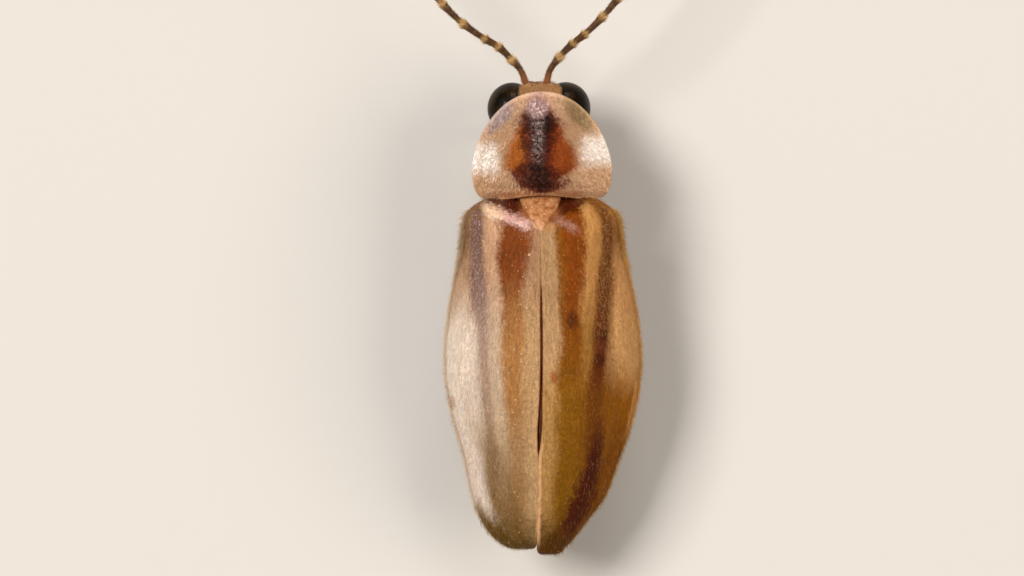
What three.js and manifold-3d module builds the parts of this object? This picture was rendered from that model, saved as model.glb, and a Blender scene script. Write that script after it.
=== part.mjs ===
// A life-size firefly, standing still with its wing cases closed and its legs drawn in under them.
// Millimetres, +Z up. While the body is made, x is the animal's left, y runs from the front edge of
// the pronotum (0) to the tail, and z is the height above the floor. The finished group is then
// shifted so that its origin lies on the floor under the middle of its bounding box.
import * as THREE from 'three';
import { mergeVertices } from 'three/addons/utils/BufferGeometryUtils.js';
import Module from 'manifold-3d';

const wasm = await Module();
wasm.setup();

// Driving sizes
const gap = 0.25;                 // clearance between neighbouring pieces
const plateThickness = 0.5;       // wing cases and pronotum
const limbRadius = 0.25;          // thinnest full section of a leg or feeler
const pronotumLength = 2.98;
const pronotumHalfWidth = 1.96;
const pronotumWidest = 2.15;      // distance of the widest point from the front edge
const pronotumFrontHeight = 3.8;
const pronotumRearHeight = 4.5;
const elytronStart = 3.2;
const elytronEndLeft = 12.86;
const elytronEndRight = 13.06;    // the right wing case lies a little further back
const hindwingInnerLeft = -0.1;   // the left hind wing is folded over the middle line
const hindwingInnerRight = 0.9;
const hindwingRightShorter = 0.9; // how much earlier the right hind wing ends
const headCentre = [0, 0.42, 2.52];
const eyeCentre = [0.8, 0.43, 2.29];
const eyeRadii = [0.67, 0.7, 0.66];
const eyeInnerFace = 0.62;        // the eye is a dome on this plane
const bellyHeight = 1.6;          // underside of the thorax

// Colours
const colours = {
  pronotum: 0xd9b98c,
  head: 0xc99a70,
  eye: 0x1c120c,
  antenna: 0x4a2f18,
  wingCase: 0xb98f5c,
  membrane: 0x4b3322,
  underside: 0x6b4526,
  abdomen: 0x5a3b24,
  lantern: 0xe8e0b4,
  leg: 0x7a5430,
};

// A smooth curve through [station, value] pairs, as a function of the station.
function profile(pairs) {
  const slope = pairs.map((pair, i) => {
    const before = pairs[Math.max(i - 1, 0)];
    const after = pairs[Math.min(i + 1, pairs.length - 1)];
    return (after[1] - before[1]) / (after[0] - before[0]);
  });
  return (at) => {
    const s = THREE.MathUtils.clamp(at, pairs[0][0], pairs[pairs.length - 1][0]);
    let i = 0;
    while (i < pairs.length - 2 && s > pairs[i + 1][0]) i += 1;
    const length = pairs[i + 1][0] - pairs[i][0];
    const t = (s - pairs[i][0]) / length;
    const rise = pairs[i + 1][1] - pairs[i][1];
    const a = slope[i] * length - rise;
    const b = rise - slope[i + 1] * length;
    return pairs[i][1] + t * rise + t * (1 - t) * (a * (1 - t) + b * t);
  };
}

const mix = (a, b, t) => a + (b - a) * t;
const mixPoint = (a, b, t) => a.map((value, i) => mix(value, b[i], t));
const ease = THREE.MathUtils.smoothstep;
const mirrored = (point) => [-point[0], point[1], point[2]];

// Joins, cuts and closing

function solidOf(geometry) {
  const bare = geometry.clone();
  bare.deleteAttribute('normal');
  bare.deleteAttribute('uv');
  const merged = mergeVertices(bare, 1e-4);
  const vertProperties = new Float32Array(merged.attributes.position.array);
  const make = (triVerts) => new wasm.Manifold(new wasm.Mesh({ numProp: 3, vertProperties, triVerts }));
  const triVerts = new Uint32Array(merged.index.array);
  const solid = make(triVerts);
  return solid.volume() > 0 ? solid : make(triVerts.reverse());
}

function largest(solid) {
  const pieces = solid.decompose();
  return pieces.reduce((best, piece) => (piece.volume() > best.volume() ? piece : best));
}

const join = (solids) => largest(solids.reduce((all, solid) => all.add(solid)));

function meshOf(name, solid, colour, roughness = 0.5) {
  const made = solid.getMesh();
  const geometry = new THREE.BufferGeometry();
  geometry.setAttribute('position', new THREE.BufferAttribute(made.vertProperties.slice(), 3));
  geometry.setIndex(new THREE.BufferAttribute(made.triVerts.slice(), 1));
  geometry.computeVertexNormals();
  const material = new THREE.MeshStandardMaterial({ color: colour, roughness, metalness: 0 });
  const mesh = new THREE.Mesh(geometry, material);
  mesh.name = name;
  return mesh;
}

// Shapes, each a sphere or a box whose points are moved to where a function puts them

// A closed body of rings: point(row, turn) is the place at that row (0 to rows) and turn (0 to 1).
// The first and last rows are single points.
function ringBody(rows, sides, point) {
  const geometry = new THREE.SphereGeometry(1, sides, rows);
  const { position, uv } = geometry.attributes;
  for (let i = 0; i < position.count; i += 1) {
    const row = Math.round((1 - uv.getY(i)) * rows);
    position.setXYZ(i, ...point(row, THREE.MathUtils.euclideanModulo(uv.getX(i), 1)));
  }
  return solidOf(geometry);
}

// A closed sheet: point(u, v, w) is the place at u across, v along and w down through it.
function sheetBody(across, along, point) {
  const geometry = new THREE.BoxGeometry(1, 1, 1, across, along, 1);
  const { position } = geometry.attributes;
  for (let i = 0; i < position.count; i += 1) {
    const [u, v, w] = [position.getX(i), position.getY(i), position.getZ(i)].map((c) => c + 0.5);
    position.setXYZ(i, ...point(u, v, w));
  }
  return solidOf(geometry);
}

// A body carried along y, with half-width, top and bottom as functions of y. Its cross-section is a
// superellipse: pinch below 1 squares it, above 1 sharpens its sides. Room makes it larger all
// round, for cutting a neighbour to the same shape with clearance.
function trunkBody({ stations, sides, halfWidth, top, bottom, pinch = 0.85, widestAt = 0.5, room = 0 }) {
  const rows = stations.length + 1;
  return ringBody(rows, sides, (row, turn) => {
    const y = stations[THREE.MathUtils.clamp(row - 1, 0, stations.length - 1)];
    const middle = mix(bottom(y), top(y), widestAt);
    const end = row <= 1 ? -room : row >= rows - 1 ? room : 0;
    if (row === 0 || row === rows) return [0, y + end, middle];
    const angle = turn * 2 * Math.PI;
    const side = Math.sin(angle);
    const rise = Math.cos(angle);
    const x = (halfWidth(y) + room) * Math.sign(side) * Math.abs(side) ** pinch;
    const reach = (rise > 0 ? top(y) - middle : middle - bottom(y)) + room;
    return [x, y + end, middle + reach * Math.sign(rise) * Math.abs(rise) ** pinch];
  });
}

// A round limb along a curve through the points, with its radius as a function of the fraction
// along. Flat below 1 thins it across its second axis.
function limbBody(points, radius, { sides = 8, fractions, flat = 1, lift = [0, 0, 1] } = {}) {
  const nodes = points.map((p) => new THREE.Vector3(...p));
  const curve = new THREE.CatmullRomCurve3(nodes, false, 'centripetal');
  const at = fractions ?? [0, 0.04, 0.2, 0.4, 0.6, 0.8, 0.96, 1];
  const rows = at.length + 1;
  return ringBody(rows, sides, (row, turn) => {
    const t = at[THREE.MathUtils.clamp(row - 1, 0, at.length - 1)];
    const centre = curve.getPoint(t);
    if (row === 0 || row === rows) return centre.toArray();
    const along = curve.getTangent(t);
    const side = new THREE.Vector3().crossVectors(along, new THREE.Vector3(...lift)).normalize();
    const up = new THREE.Vector3().crossVectors(side, along);
    const angle = turn * 2 * Math.PI;
    centre.addScaledVector(side, radius(t) * Math.sin(angle));
    return centre.addScaledVector(up, flat * radius(t) * Math.cos(angle)).toArray();
  });
}

// An ellipsoid
function eggBody(centre, radii, rows = 12, sides = 16) {
  return solidOf(new THREE.SphereGeometry(1, sides, rows).scale(...radii).translate(...centre));
}

// Pronotum: a domed shield with a flat brim, half an ellipse in front and square behind

const pronotumRidge = (y) => {
  const fromRear = (pronotumLength - y) / pronotumLength;
  return pronotumRearHeight - (pronotumRearHeight - pronotumFrontHeight) * fromRear ** 2;
};
const pronotumFall = (x) => 0.5 * ease(Math.abs(x), 0.3, 1.35) + 0.22 * (x / pronotumHalfWidth) ** 2;
const pronotumTop = (x, y) => pronotumRidge(y) - pronotumFall(x);

function pronotumOutline(count) {
  const shape = new THREE.Shape();
  const rearHalfWidth = 1.76;
  shape.moveTo(0, 0);
  shape.absellipse(0, pronotumWidest, pronotumHalfWidth, pronotumWidest, -Math.PI / 2, 0, false);
  shape.bezierCurveTo(pronotumHalfWidth, 2.5, 1.9, 2.85, rearHalfWidth, pronotumLength);
  shape.bezierCurveTo(1.2, pronotumLength - 0.02, 0.7, 2.84, 0, 2.84);
  shape.bezierCurveTo(-0.7, 2.84, -1.2, pronotumLength - 0.02, -rearHalfWidth, pronotumLength);
  shape.bezierCurveTo(-1.9, 2.85, -pronotumHalfWidth, 2.5, -pronotumHalfWidth, pronotumWidest);
  shape.absellipse(0, pronotumWidest, pronotumHalfWidth, pronotumWidest, Math.PI, Math.PI * 1.5, false);
  return shape.getSpacedPoints(count);
}

function makePronotum() {
  const sides = 36;
  const outline = pronotumOutline(sides);
  const centre = [0, 1.7];
  const spread = [0, 0.3, 0.55, 0.78, 0.93, 1];
  const rows = spread.length * 2 - 1;
  return ringBody(rows, sides, (row, turn) => {
    const below = row >= spread.length;
    const share = spread[below ? rows - row : row];
    const edge = outline[Math.round(turn * sides) % sides];
    const x = edge.x * share;
    const y = mix(centre[1], edge.y, share);
    const brim = mix(plateThickness, plateThickness * 0.7, share ** 4);
    return [x, y, pronotumTop(x, y) - (below ? brim : 0)];
  });
}

// Wing cases: a surface over the back, and sheets at chosen depths under it

const elytronOuterEdge = profile([
  [elytronStart, 1.84], [3.35, 2.03], [3.6, 2.15], [4.5, 2.24], [5.5, 2.48], [6.5, 2.65],
  [7.4, 2.73], [8.3, 2.68], [9.2, 2.5], [10.0, 2.28], [10.9, 1.98], [11.6, 1.68],
  [12.1, 1.38], [12.5, 1.07], [elytronEndLeft, 0.7],
]);
// The left wing case is spread a little wider than the right one towards its tip
const leftSpread = profile([[10.2, 0], [11.2, 0.16], [12.0, 0.32], [12.5, 0.24], [elytronEndLeft, 0.16]]);
const seamHalfWidth = gap / 2;
const elytronInnerCurve = profile([
  [elytronStart, 0.85], [3.6, 0.66], [4.05, 0.3], [4.3, seamHalfWidth],
  [12.4, seamHalfWidth], [12.7, 0.2], [elytronEndLeft, 0.34],
]);
const elytronInnerEdge = (y) => Math.max(seamHalfWidth, elytronInnerCurve(y));
const crest = profile([
  [elytronStart, 4.12], [3.7, 4.52], [4.7, 4.82], [6.2, 4.92],
  [8.0, 4.86], [10.0, 4.45], [11.6, 3.85], [elytronEndLeft, 3.2],
]);
const hem = profile([
  [elytronStart, 3.85], [3.7, 3.5], [4.7, 3.12], [6.5, 2.85],
  [9.0, 2.72], [11.0, 2.62], [elytronEndLeft, 2.75],
]);
const brimWidth = profile([
  [elytronStart, 0.12], [4.4, 0.24], [5.8, 0.62], [7.0, 0.8],
  [8.2, 0.6], [9.4, 0.36], [11.4, 0.32], [elytronEndLeft, 0.22],
]);
const brimShare = profile([
  [elytronStart, 0.1], [4.4, 0.8], [6.0, 1], [10.5, 0.85], [12.0, 0.5], [elytronEndLeft, 0.2],
]);
const ribPlaces = [0.26, 0.5];    // shares of the half-width
const ribHalfWidth = 0.08;
const ribHeight = 0.05;

// Height of the back at a share of the half-width (0 at the seam, 1 at the hem): a dome, blended
// with a disc that drops to a crease and a convex brim outside it.
function backHeight(share, y) {
  const f = Math.min(Math.abs(share), 1);
  const dome = (1 - f ** 2.4) ** 0.72;
  const creaseAt = 1 - brimWidth(y) / elytronOuterEdge(y);
  const brimRise = (0.12 + 0.75 * brimWidth(y)) / (crest(y) - hem(y));
  const disc = 1 - (1 - brimRise) * (f / creaseAt) ** 2.6;
  const brim = brimRise * (1 - ((f - creaseAt) / (1 - creaseAt)) ** 2);
  const creased = f < creaseAt ? disc : brim;
  return mix(hem(y), crest(y), mix(dome, creased, brimShare(y)));
}

function backPoint(share, y, depth) {
  const width = elytronOuterEdge(y);
  const place = (s, at) => new THREE.Vector3(s * elytronOuterEdge(at), at, backHeight(s, at));
  const step = 0.02;
  const inside = Math.min(Math.abs(share), 1 - step) * Math.sign(share || 1);
  const across = place(inside + step, y).sub(place(inside - step, y));
  const along = place(inside, y + step).sub(place(inside, y - step));
  const normal = across.cross(along).normalize();
  if (Math.abs(share) * width < gap) normal.setX(0).normalize();
  const surface = new THREE.Vector3(share * width, y, backHeight(share, y));
  return surface.addScaledVector(normal, -depth).toArray();
}

function makeElytron(side, end) {
  const across = 12;
  const along = 26;
  const seamThinning = 0.9;       // the seam edge's share of the plate thickness
  const brimFrom = 0.75;          // share of the rows across at which the brim starts
  const tailCrowding = 0.35;      // how far the rows along crowd towards the tail
  const ribAt = (share, place) => Math.max(0, 1 - Math.abs(share - place) / ribHalfWidth);
  return sheetBody(across, along, (u, v, w) => {
    const crowded = Math.sin(v * Math.PI / 2) ** 0.9;
    const y = mix(elytronStart, elytronEndLeft, mix(v, crowded, tailCrowding));
    const inner = elytronInnerEdge(y) / elytronOuterEdge(y);
    const creaseAt = 1 - brimWidth(y) / elytronOuterEdge(y);
    const onDisc = mix(inner, creaseAt, u / brimFrom);
    const onBrim = mix(creaseAt, 1, (u - brimFrom) / (1 - brimFrom));
    const share = u < brimFrom ? onDisc : onBrim;
    const rib = w > 0 ? 0 : Math.max(...ribPlaces.map((place) => ribAt(share, place)));
    const depth = w * plateThickness * mix(seamThinning, 1, u) - ribHeight * rib;
    const [x, py, z] = backPoint(share, y, depth);
    const wider = side > 0 ? 1 + leftSpread(y) / elytronOuterEdge(y) : 1;
    const rearward = (end - elytronEndLeft) * ease(y, 9, elytronEndLeft);
    return [side * wider * x, py + rearward, z];
  });
}

// Hind wings: thin membranes folded flat under the wing cases, the left one over the middle line

const wingThickness = 0.46;
const wingDepth = plateThickness + gap;
const wingStart = 4.75;
const hindwingEnd = 11.3;

const hindwingOuterEdge = profile([
  [wingStart, 1.25], [7.5, 1.45], [10.0, 1.35], [hindwingEnd, 1.05],
]);

function makeHindwing(side, innerEdge) {
  const veinAt = 0.62;            // share of the way across
  const veinHalfWidth = 0.13;
  const veinHeight = 0.04;
  const end = side > 0 ? hindwingEnd : hindwingEnd - hindwingRightShorter;
  return sheetBody(8, 20, (u, v, w) => {
    const y = mix(wingStart, end, v);
    const share = mix(innerEdge, hindwingOuterEdge(y), u) / elytronOuterEdge(y);
    const ridge = Math.max(0, 1 - Math.abs(u - veinAt) / veinHalfWidth) * veinHeight;
    const vein = w > 0 || v === 0 || v === 1 ? 0 : ridge;
    const [x, py, z] = backPoint(share, y, wingDepth + w * wingThickness - vein);
    return [side * x, py, z];
  });
}

// Scutellum: the small triangle between the wing case roots

function makeScutellum() {
  const length = 0.8;
  return sheetBody(6, 5, (u, v, w) => {
    const y = mix(elytronStart, elytronStart + length, v);
    const halfWidth = mix(0.46, 0.05, v);
    const x = halfWidth * (2 * u - 1);
    const top = mix(4.14, 4.6, Math.sin(v * Math.PI / 2)) - 0.25 * x * x;
    return [x, y, top - w * 0.4];
  });
}

// Body under the wing cases

// The height left free under the folded hind wings, with some room for their tilt at the sides
const underWings = (y) => {
  const tiltRoom = 0.16 + 0.08 * ease(y, 8.5, 10.5);
  return crest(y) - wingDepth - wingThickness - gap - tiltRoom;
};

function makeProthorax(room = 0) {
  const front = 1.55;
  const neckLength = 0.3;
  const neckRadius = 0.42;
  const neckHeight = headCentre[2] + 0.1;
  const rear = pronotumLength - 0.03;
  const body = trunkBody({
    stations: [front, front + 0.07, 1.9, 2.3, 2.7, rear - 0.05, rear],
    sides: 20,
    halfWidth: profile([
      [front, 0.75], [front + 0.07, 0.85], [2.2, 1.05], [rear - 0.05, 1.15], [rear, 1.08],
    ]),
    top: (y) => pronotumTop(0.75, y) - plateThickness - gap - 0.02,
    bottom: profile([[front, 2.2], [2.2, 1.85], [rear, 1.8]]),
    widestAt: 0.62,
    room,
  });
  const neckEnds = [[0, front - neckLength, neckHeight], [0, front + neckLength, neckHeight + 0.05]];
  return join([body, limbBody(neckEnds, () => neckRadius + room, { sides: 12 })]);
}

function makeMesothorax(room = 0) {
  const front = elytronStart;
  const rear = 4.5;
  return trunkBody({
    stations: [front, front + 0.05, 3.5, 3.9, 4.3, rear - 0.04, rear],
    sides: 22,
    halfWidth: profile([
      [front, 1.05], [front + 0.05, 1.15], [3.9, 1.38], [rear - 0.04, 1.45], [rear, 1.4],
    ]),
    top: profile([[front, 3.3], [3.5, 3.4], [4.0, 3.5], [rear, 3.55]]),
    bottom: profile([[front, 1.85], [3.8, bellyHeight + 0.05], [rear, bellyHeight]]),
    widestAt: 0.62,
    pinch: 0.9,
    room,
  });
}

function makeMetathorax(room = 0) {
  const front = 4.5 + gap;
  const rear = 6.75;
  return trunkBody({
    stations: [front, front + 0.05, 5.1, 5.6, 6.1, 6.5, rear - 0.05, rear],
    sides: 22,
    halfWidth: profile([
      [front, 1.42], [front + 0.05, 1.48], [5.8, 1.6], [rear - 0.05, 1.6], [rear, 1.52],
    ]),
    top: underWings,
    bottom: profile([[front, bellyHeight], [6.0, bellyHeight], [rear, bellyHeight + 0.1]]),
    widestAt: 0.62,
    pinch: 0.9,
    room,
  });
}

// Abdomen: rings that each swell behind their front edge and step in to the next one

const abdomenStart = 7.0;
const abdomenEnd = 12.35;
const abdomenHalfWidth = profile([
  [abdomenStart, 1.55], [8.5, 1.75], [10.0, 1.52], [11.2, 1.1], [abdomenEnd, 0.42],
]);
const abdomenBottom = profile([[abdomenStart, 1.9], [8.5, 1.85], [10.5, 1.8], [abdomenEnd, 2.0]]);
const abdomenTop = (y) => {
  const behindWings = ease(y, hindwingEnd, hindwingEnd + gap);
  return underWings(y) + (wingThickness + gap / 2) * behindWings;
};

function abdomenPiece(bounds) {
  const swell = new Map();
  const stations = [];
  bounds.slice(1).forEach((rear, i) => {
    const front = bounds[i];
    [[0, 0.93], [0.12, 0.96], [0.55, 0.99], [0.93, 1.0]].forEach(([share, scale]) => {
      stations.push(mix(front, rear, share));
      swell.set(mix(front, rear, share), scale);
    });
  });
  const rear = bounds[bounds.length - 1];
  stations.push(rear);
  swell.set(rear, 0.95);
  return trunkBody({
    stations,
    sides: 20,
    halfWidth: (y) => abdomenHalfWidth(y) * swell.get(y),
    top: (y) => abdomenTop(y) - (1 - swell.get(y)) * 0.6,
    bottom: (y) => abdomenBottom(y) + (1 - swell.get(y)) * 1.0,
    widestAt: 0.55,
    pinch: 1.05,
  });
}

// Head: capsule with feeler sockets, jaws and palps, hollowed at each side for an eye

const headRadii = [0.72, 0.6, 0.72];
const onHead = (x, y, rise) => [x, y, headCentre[2] + rise];
const feelerSocket = onHead(0.35, -0.22, 0.32);

function makeEye(side) {
  const half = new THREE.BoxGeometry(2, 4, 4).translate(eyeInnerFace + 1, eyeCentre[1], eyeCentre[2]);
  const dome = eggBody(eyeCentre, eyeRadii, 14, 22).intersect(solidOf(half));
  return side > 0 ? dome : dome.mirror([1, 0, 0]);
}

function eyeSocket(side) {
  const room = eyeRadii.map((r) => r + gap);
  const half = new THREE.BoxGeometry(2, 4, 4);
  half.translate(eyeInnerFace - gap + 1, eyeCentre[1], eyeCentre[2]);
  const socket = eggBody(eyeCentre, room, 14, 22).intersect(solidOf(half));
  return side > 0 ? socket : socket.mirror([1, 0, 0]);
}

function makeHead() {
  const capsule = eggBody(headCentre, headRadii, 14, 20);
  const faceHeights = (rises) => profile(rises.map(([y, rise]) => [y, headCentre[2] + rise]));
  const face = trunkBody({
    stations: [-0.24, -0.2, 0, 0.25, 0.5],
    sides: 16,
    halfWidth: profile([[-0.24, 0.42], [-0.2, 0.48], [0.5, 0.6]]),
    top: faceHeights([[-0.24, 0.27], [-0.2, 0.36], [0.5, 0.64]]),
    bottom: faceHeights([[-0.24, -0.48], [-0.2, -0.58], [0.5, -0.68]]),
  });
  const paired = [1, -1].flatMap((side) => {
    const put = (point) => (side > 0 ? point : mirrored(point));
    const behind = [feelerSocket[0] - 0.06, feelerSocket[1] + 0.35, feelerSocket[2] - 0.08];
    const socket = limbBody([put(behind), put(feelerSocket)], () => limbRadius, { sides: 10 });
    const jaw = limbBody(
      [put(onHead(0.26, 0.08, -0.48)), put(onHead(0.32, -0.12, -0.73)), put(onHead(0.1, -0.22, -1.04))],
      profile([[0, 0.22], [0.5, 0.17], [1, 0.06]]),
      { sides: 7, fractions: [0, 0.25, 0.5, 0.75, 1] },
    );
    const palp = limbBody(
      [put(onHead(0.3, 0.35, -0.53)), put(onHead(0.5, 0.2, -0.83)), put(onHead(0.55, -0.02, -1.13))],
      profile([[0, 0.2], [0.35, 0.16], [0.45, 0.2], [0.6, 0.17], [0.8, 0.24], [1, 0.1]]),
      { sides: 7, fractions: [0, 0.3, 0.42, 0.55, 0.65, 0.85, 1] },
    );
    const lowerPalp = limbBody(
      [put(onHead(0.16, 0.5, -0.58)), put(onHead(0.2, 0.38, -0.96))],
      profile([[0, 0.16], [0.7, 0.15], [1, 0.08]]),
      { sides: 7, fractions: [0, 0.5, 0.8, 1] },
    );
    return [socket, jaw, palp, lowerPalp];
  });
  return largest(join([capsule, face, ...paired]).subtract(eyeSocket(1)).subtract(eyeSocket(-1)));
}

// Feelers: eleven joints, the second and third short, each swelling to its tip

const feelerJoints = [0.62, 0.44, 0.46, 0.78, 0.8, 0.74, 0.72, 0.7, 0.68, 0.66, 0.74];

function makeFeeler(route) {
  const total = feelerJoints.reduce((sum, length) => sum + length, 0);
  const fractions = [0];
  const radii = [[0, limbRadius * 0.9]];
  let passed = 0;
  feelerJoints.forEach((length, i) => {
    const last = i === feelerJoints.length - 1;
    [[0.12, 0.88], [0.75, 1.08], [0.95, 1.0]].forEach(([share, scale]) => {
      const t = (passed + length * share) / total;
      const thin = last ? mix(1, 0.35, share) : 1;
      fractions.push(t);
      radii.push([t, limbRadius * scale * thin]);
    });
    passed += length;
  });
  return limbBody(route, profile(radii), { fractions, sides: 8 });
}

const feelerRoot = [feelerSocket[0] + 0.06, feelerSocket[1] - gap - 0.07, feelerSocket[2] + 0.08];

// Legs: coxa, trochanter, thigh, shin and a foot of five joints with two claws

const legPlans = {
  front: {
    root: [0.52, 2.45, 1.6], hip: [0.66, 2.85, 1.3], knee: [1.5, 1.5, 2.2],
    ankle: [1.3, 1.1, 0.34], toes: [1.08, -0.1, 0.2], coxaRadius: 0.34,
  },
  middle: {
    root: [0.54, 4.15, 1.38], hip: [0.74, 4.55, 1.1], knee: [2.15, 6.05, 1.95],
    ankle: [1.98, 6.45, 0.34], toes: [2.15, 7.95, 0.2], coxaRadius: 0.36,
  },
  hind: {
    root: [0.55, 6.3, 1.33], hip: [0.85, 6.7, 1.05], knee: [2.22, 8.65, 1.62],
    ankle: [1.86, 10.35, 0.34], toes: [1.42, 11.75, 0.2], coxaRadius: 0.38,
  },
};

function makeLeg(plan, side, trunk) {
  const put = (point) => (side > 0 ? point : mirrored(point));
  const { root, hip, knee, ankle, toes, coxaRadius } = plan;
  const above = [root[0], root[1] - 0.1, root[2] + 0.12];
  const coxa = limbBody(
    [put(above), put(mixPoint(above, hip, 0.5)), put(hip)],
    profile([[0, coxaRadius], [0.5, coxaRadius], [1, 0.26]]),
    { fractions: [0, 0.15, 0.5, 0.85, 1], sides: 9, lift: [0, 1, 0.2] },
  );
  const thigh = limbBody(
    [put(hip), put(mixPoint(hip, knee, 0.5)), put(knee)],
    profile([[0, 0.22], [0.12, 0.27], [0.45, 0.33], [0.8, 0.28], [1, 0.2]]),
    { fractions: [0, 0.05, 0.2, 0.45, 0.7, 0.9, 1] },
  );
  const bow = mixPoint(knee, ankle, 0.5);
  bow[0] += 0.05;
  const shin = limbBody(
    [put(knee), put(bow), put(ankle)],
    profile([[0, 0.2], [0.15, 0.25], [0.8, 0.26], [1, 0.22]]),
    { fractions: [0, 0.06, 0.3, 0.65, 0.95, 1], lift: [0, 1, 0.1] },
  );
  const toeJoints = [0, 0.04, 0.26, 0.32, 0.44, 0.5, 0.6, 0.65, 0.8, 0.85, 0.97, 1];
  const toeRadii = [0.2, 0.23, 0.26, 0.2, 0.25, 0.2, 0.25, 0.21, 0.31, 0.2, 0.24, 0.18];
  const foot = limbBody(
    [put(ankle), put(mixPoint(ankle, toes, 0.4).map((c, i) => (i === 2 ? 0.2 : c))), put(toes)],
    profile(toeJoints.map((t, i) => [t, toeRadii[i]])),
    { fractions: toeJoints, flat: 0.85 },
  );
  const heading = new THREE.Vector3(...toes).sub(new THREE.Vector3(...ankle)).setZ(0).normalize();
  const claws = [1, -1].map((turn) => {
    const across = new THREE.Vector3(heading.y, -heading.x, 0).multiplyScalar(turn);
    const at = (ahead, out, z) => put([
      toes[0] + heading.x * ahead + across.x * out,
      toes[1] + heading.y * ahead + across.y * out,
      z,
    ]);
    return limbBody(
      [at(-0.12, 0.04, 0.24), at(0.1, 0.2, 0.26), at(0.28, 0.26, 0.1)],
      profile([[0, 0.14], [0.6, 0.11], [1, 0.05]]),
      { fractions: [0, 0.4, 0.75, 1], sides: 6 },
    );
  });
  const leg = join([coxa, thigh, shin, foot, ...claws]).trimByPlane([0, 0, 1], 0);
  return largest(leg.subtract(trunk));
}

// The whole animal

const firefly = new THREE.Group();
const add = (name, solid, colour, roughness) => firefly.add(meshOf(name, solid, colour, roughness));

add('pronotum', makePronotum(), colours.pronotum);
add('prothorax', makeProthorax(), colours.underside);
add('head', makeHead(), colours.head);
add('scutellum', makeScutellum(), colours.wingCase);
add('mesothorax', makeMesothorax(), colours.underside);
add('metathorax', makeMetathorax(), colours.underside);
add('abdomen', abdomenPiece([abdomenStart, 7.95, 8.85, 9.7]), colours.abdomen);
add('lantern', abdomenPiece([9.7 + gap, 10.6, 11.3]), colours.lantern);
add('abdomen_tip', abdomenPiece([11.3 + gap, 12.0, abdomenEnd]), colours.abdomen);

const feelerRoutes = {
  left: [
    feelerRoot, [0.8, -0.97, 3.15], [1.14, -1.3, 3.23], [1.52, -1.52, 3.29],
    [2.17, -1.99, 3.35], [2.72, -2.54, 3.37], [4.0, -4.05, 3.28], [5.2, -5.75, 2.98],
  ],
  right: [
    mirrored(feelerRoot), [-0.67, -1.06, 3.15], [-0.98, -1.37, 3.23], [-1.31, -1.63, 3.29],
    [-1.84, -2.14, 3.35], [-2.28, -2.66, 3.37], [-3.6, -4.2, 3.28], [-5.2, -5.75, 2.98],
  ],
};

const trunkWithRoom = makeProthorax(gap).add(makeMesothorax(gap)).add(makeMetathorax(gap));

for (const [word, side] of [['left', 1], ['right', -1]]) {
  const elytronEnd = side > 0 ? elytronEndLeft : elytronEndRight;
  const hindwingInner = side > 0 ? hindwingInnerLeft : hindwingInnerRight;
  add(`eye_${word}`, makeEye(side), colours.eye, 0.2);
  add(`antenna_${word}`, makeFeeler(feelerRoutes[word]), colours.antenna);
  add(`elytron_${word}`, makeElytron(side, elytronEnd), colours.wingCase);
  add(`hindwing_${word}`, makeHindwing(side, hindwingInner), colours.membrane, 0.3);
  for (const [place, plan] of Object.entries(legPlans)) {
    add(`leg_${place}_${word}`, makeLeg(plan, side, trunkWithRoom), colours.leg);
  }
}

const box = new THREE.Box3().setFromObject(firefly);
firefly.position.set(-(box.min.x + box.max.x) / 2, -(box.min.y + box.max.y) / 2, -box.min.z);

export default firefly;
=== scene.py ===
# A life-size firefly as a still model: the fine shape, hair and finish of every piece.
# Shapes are worked out in body millimetres: x is the animal's left, y runs back from the front
# edge of the pronotum, z is the height above the floor. The frame says where that lies.
import math
from functools import partial, reduce
from operator import add

import bpy
import numpy as np
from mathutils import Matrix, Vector


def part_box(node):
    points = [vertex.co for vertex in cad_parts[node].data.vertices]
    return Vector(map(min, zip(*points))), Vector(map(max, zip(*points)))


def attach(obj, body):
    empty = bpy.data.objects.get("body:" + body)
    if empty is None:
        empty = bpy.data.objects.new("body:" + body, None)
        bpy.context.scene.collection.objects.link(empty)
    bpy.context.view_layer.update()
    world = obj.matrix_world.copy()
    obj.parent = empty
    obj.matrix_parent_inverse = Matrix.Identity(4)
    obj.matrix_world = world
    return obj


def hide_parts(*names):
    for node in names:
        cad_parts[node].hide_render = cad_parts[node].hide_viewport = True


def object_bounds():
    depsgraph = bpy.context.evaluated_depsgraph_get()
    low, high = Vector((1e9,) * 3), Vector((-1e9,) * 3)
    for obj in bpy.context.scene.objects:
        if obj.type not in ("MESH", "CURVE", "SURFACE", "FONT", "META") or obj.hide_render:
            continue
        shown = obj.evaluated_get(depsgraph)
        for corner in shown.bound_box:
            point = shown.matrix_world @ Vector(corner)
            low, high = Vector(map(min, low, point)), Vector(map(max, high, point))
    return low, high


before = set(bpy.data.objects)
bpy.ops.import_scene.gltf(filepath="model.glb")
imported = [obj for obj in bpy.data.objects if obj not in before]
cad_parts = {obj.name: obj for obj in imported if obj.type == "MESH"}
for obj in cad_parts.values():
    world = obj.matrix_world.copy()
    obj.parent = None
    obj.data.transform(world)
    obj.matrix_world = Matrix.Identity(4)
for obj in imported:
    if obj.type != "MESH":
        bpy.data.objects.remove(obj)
cadLow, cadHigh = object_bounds()
print("frame loaded:", len(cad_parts), "solids")

mm = 0.001
bodyOrigin = np.array([(cadLow.x + cadHigh.x) / 2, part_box("pronotum")[0].y, 0.0])
sides = {"left": 1, "right": -1}
leastHeight = 0.004     # no hair and no foot reaches lower


# Sums used by every shape

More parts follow.
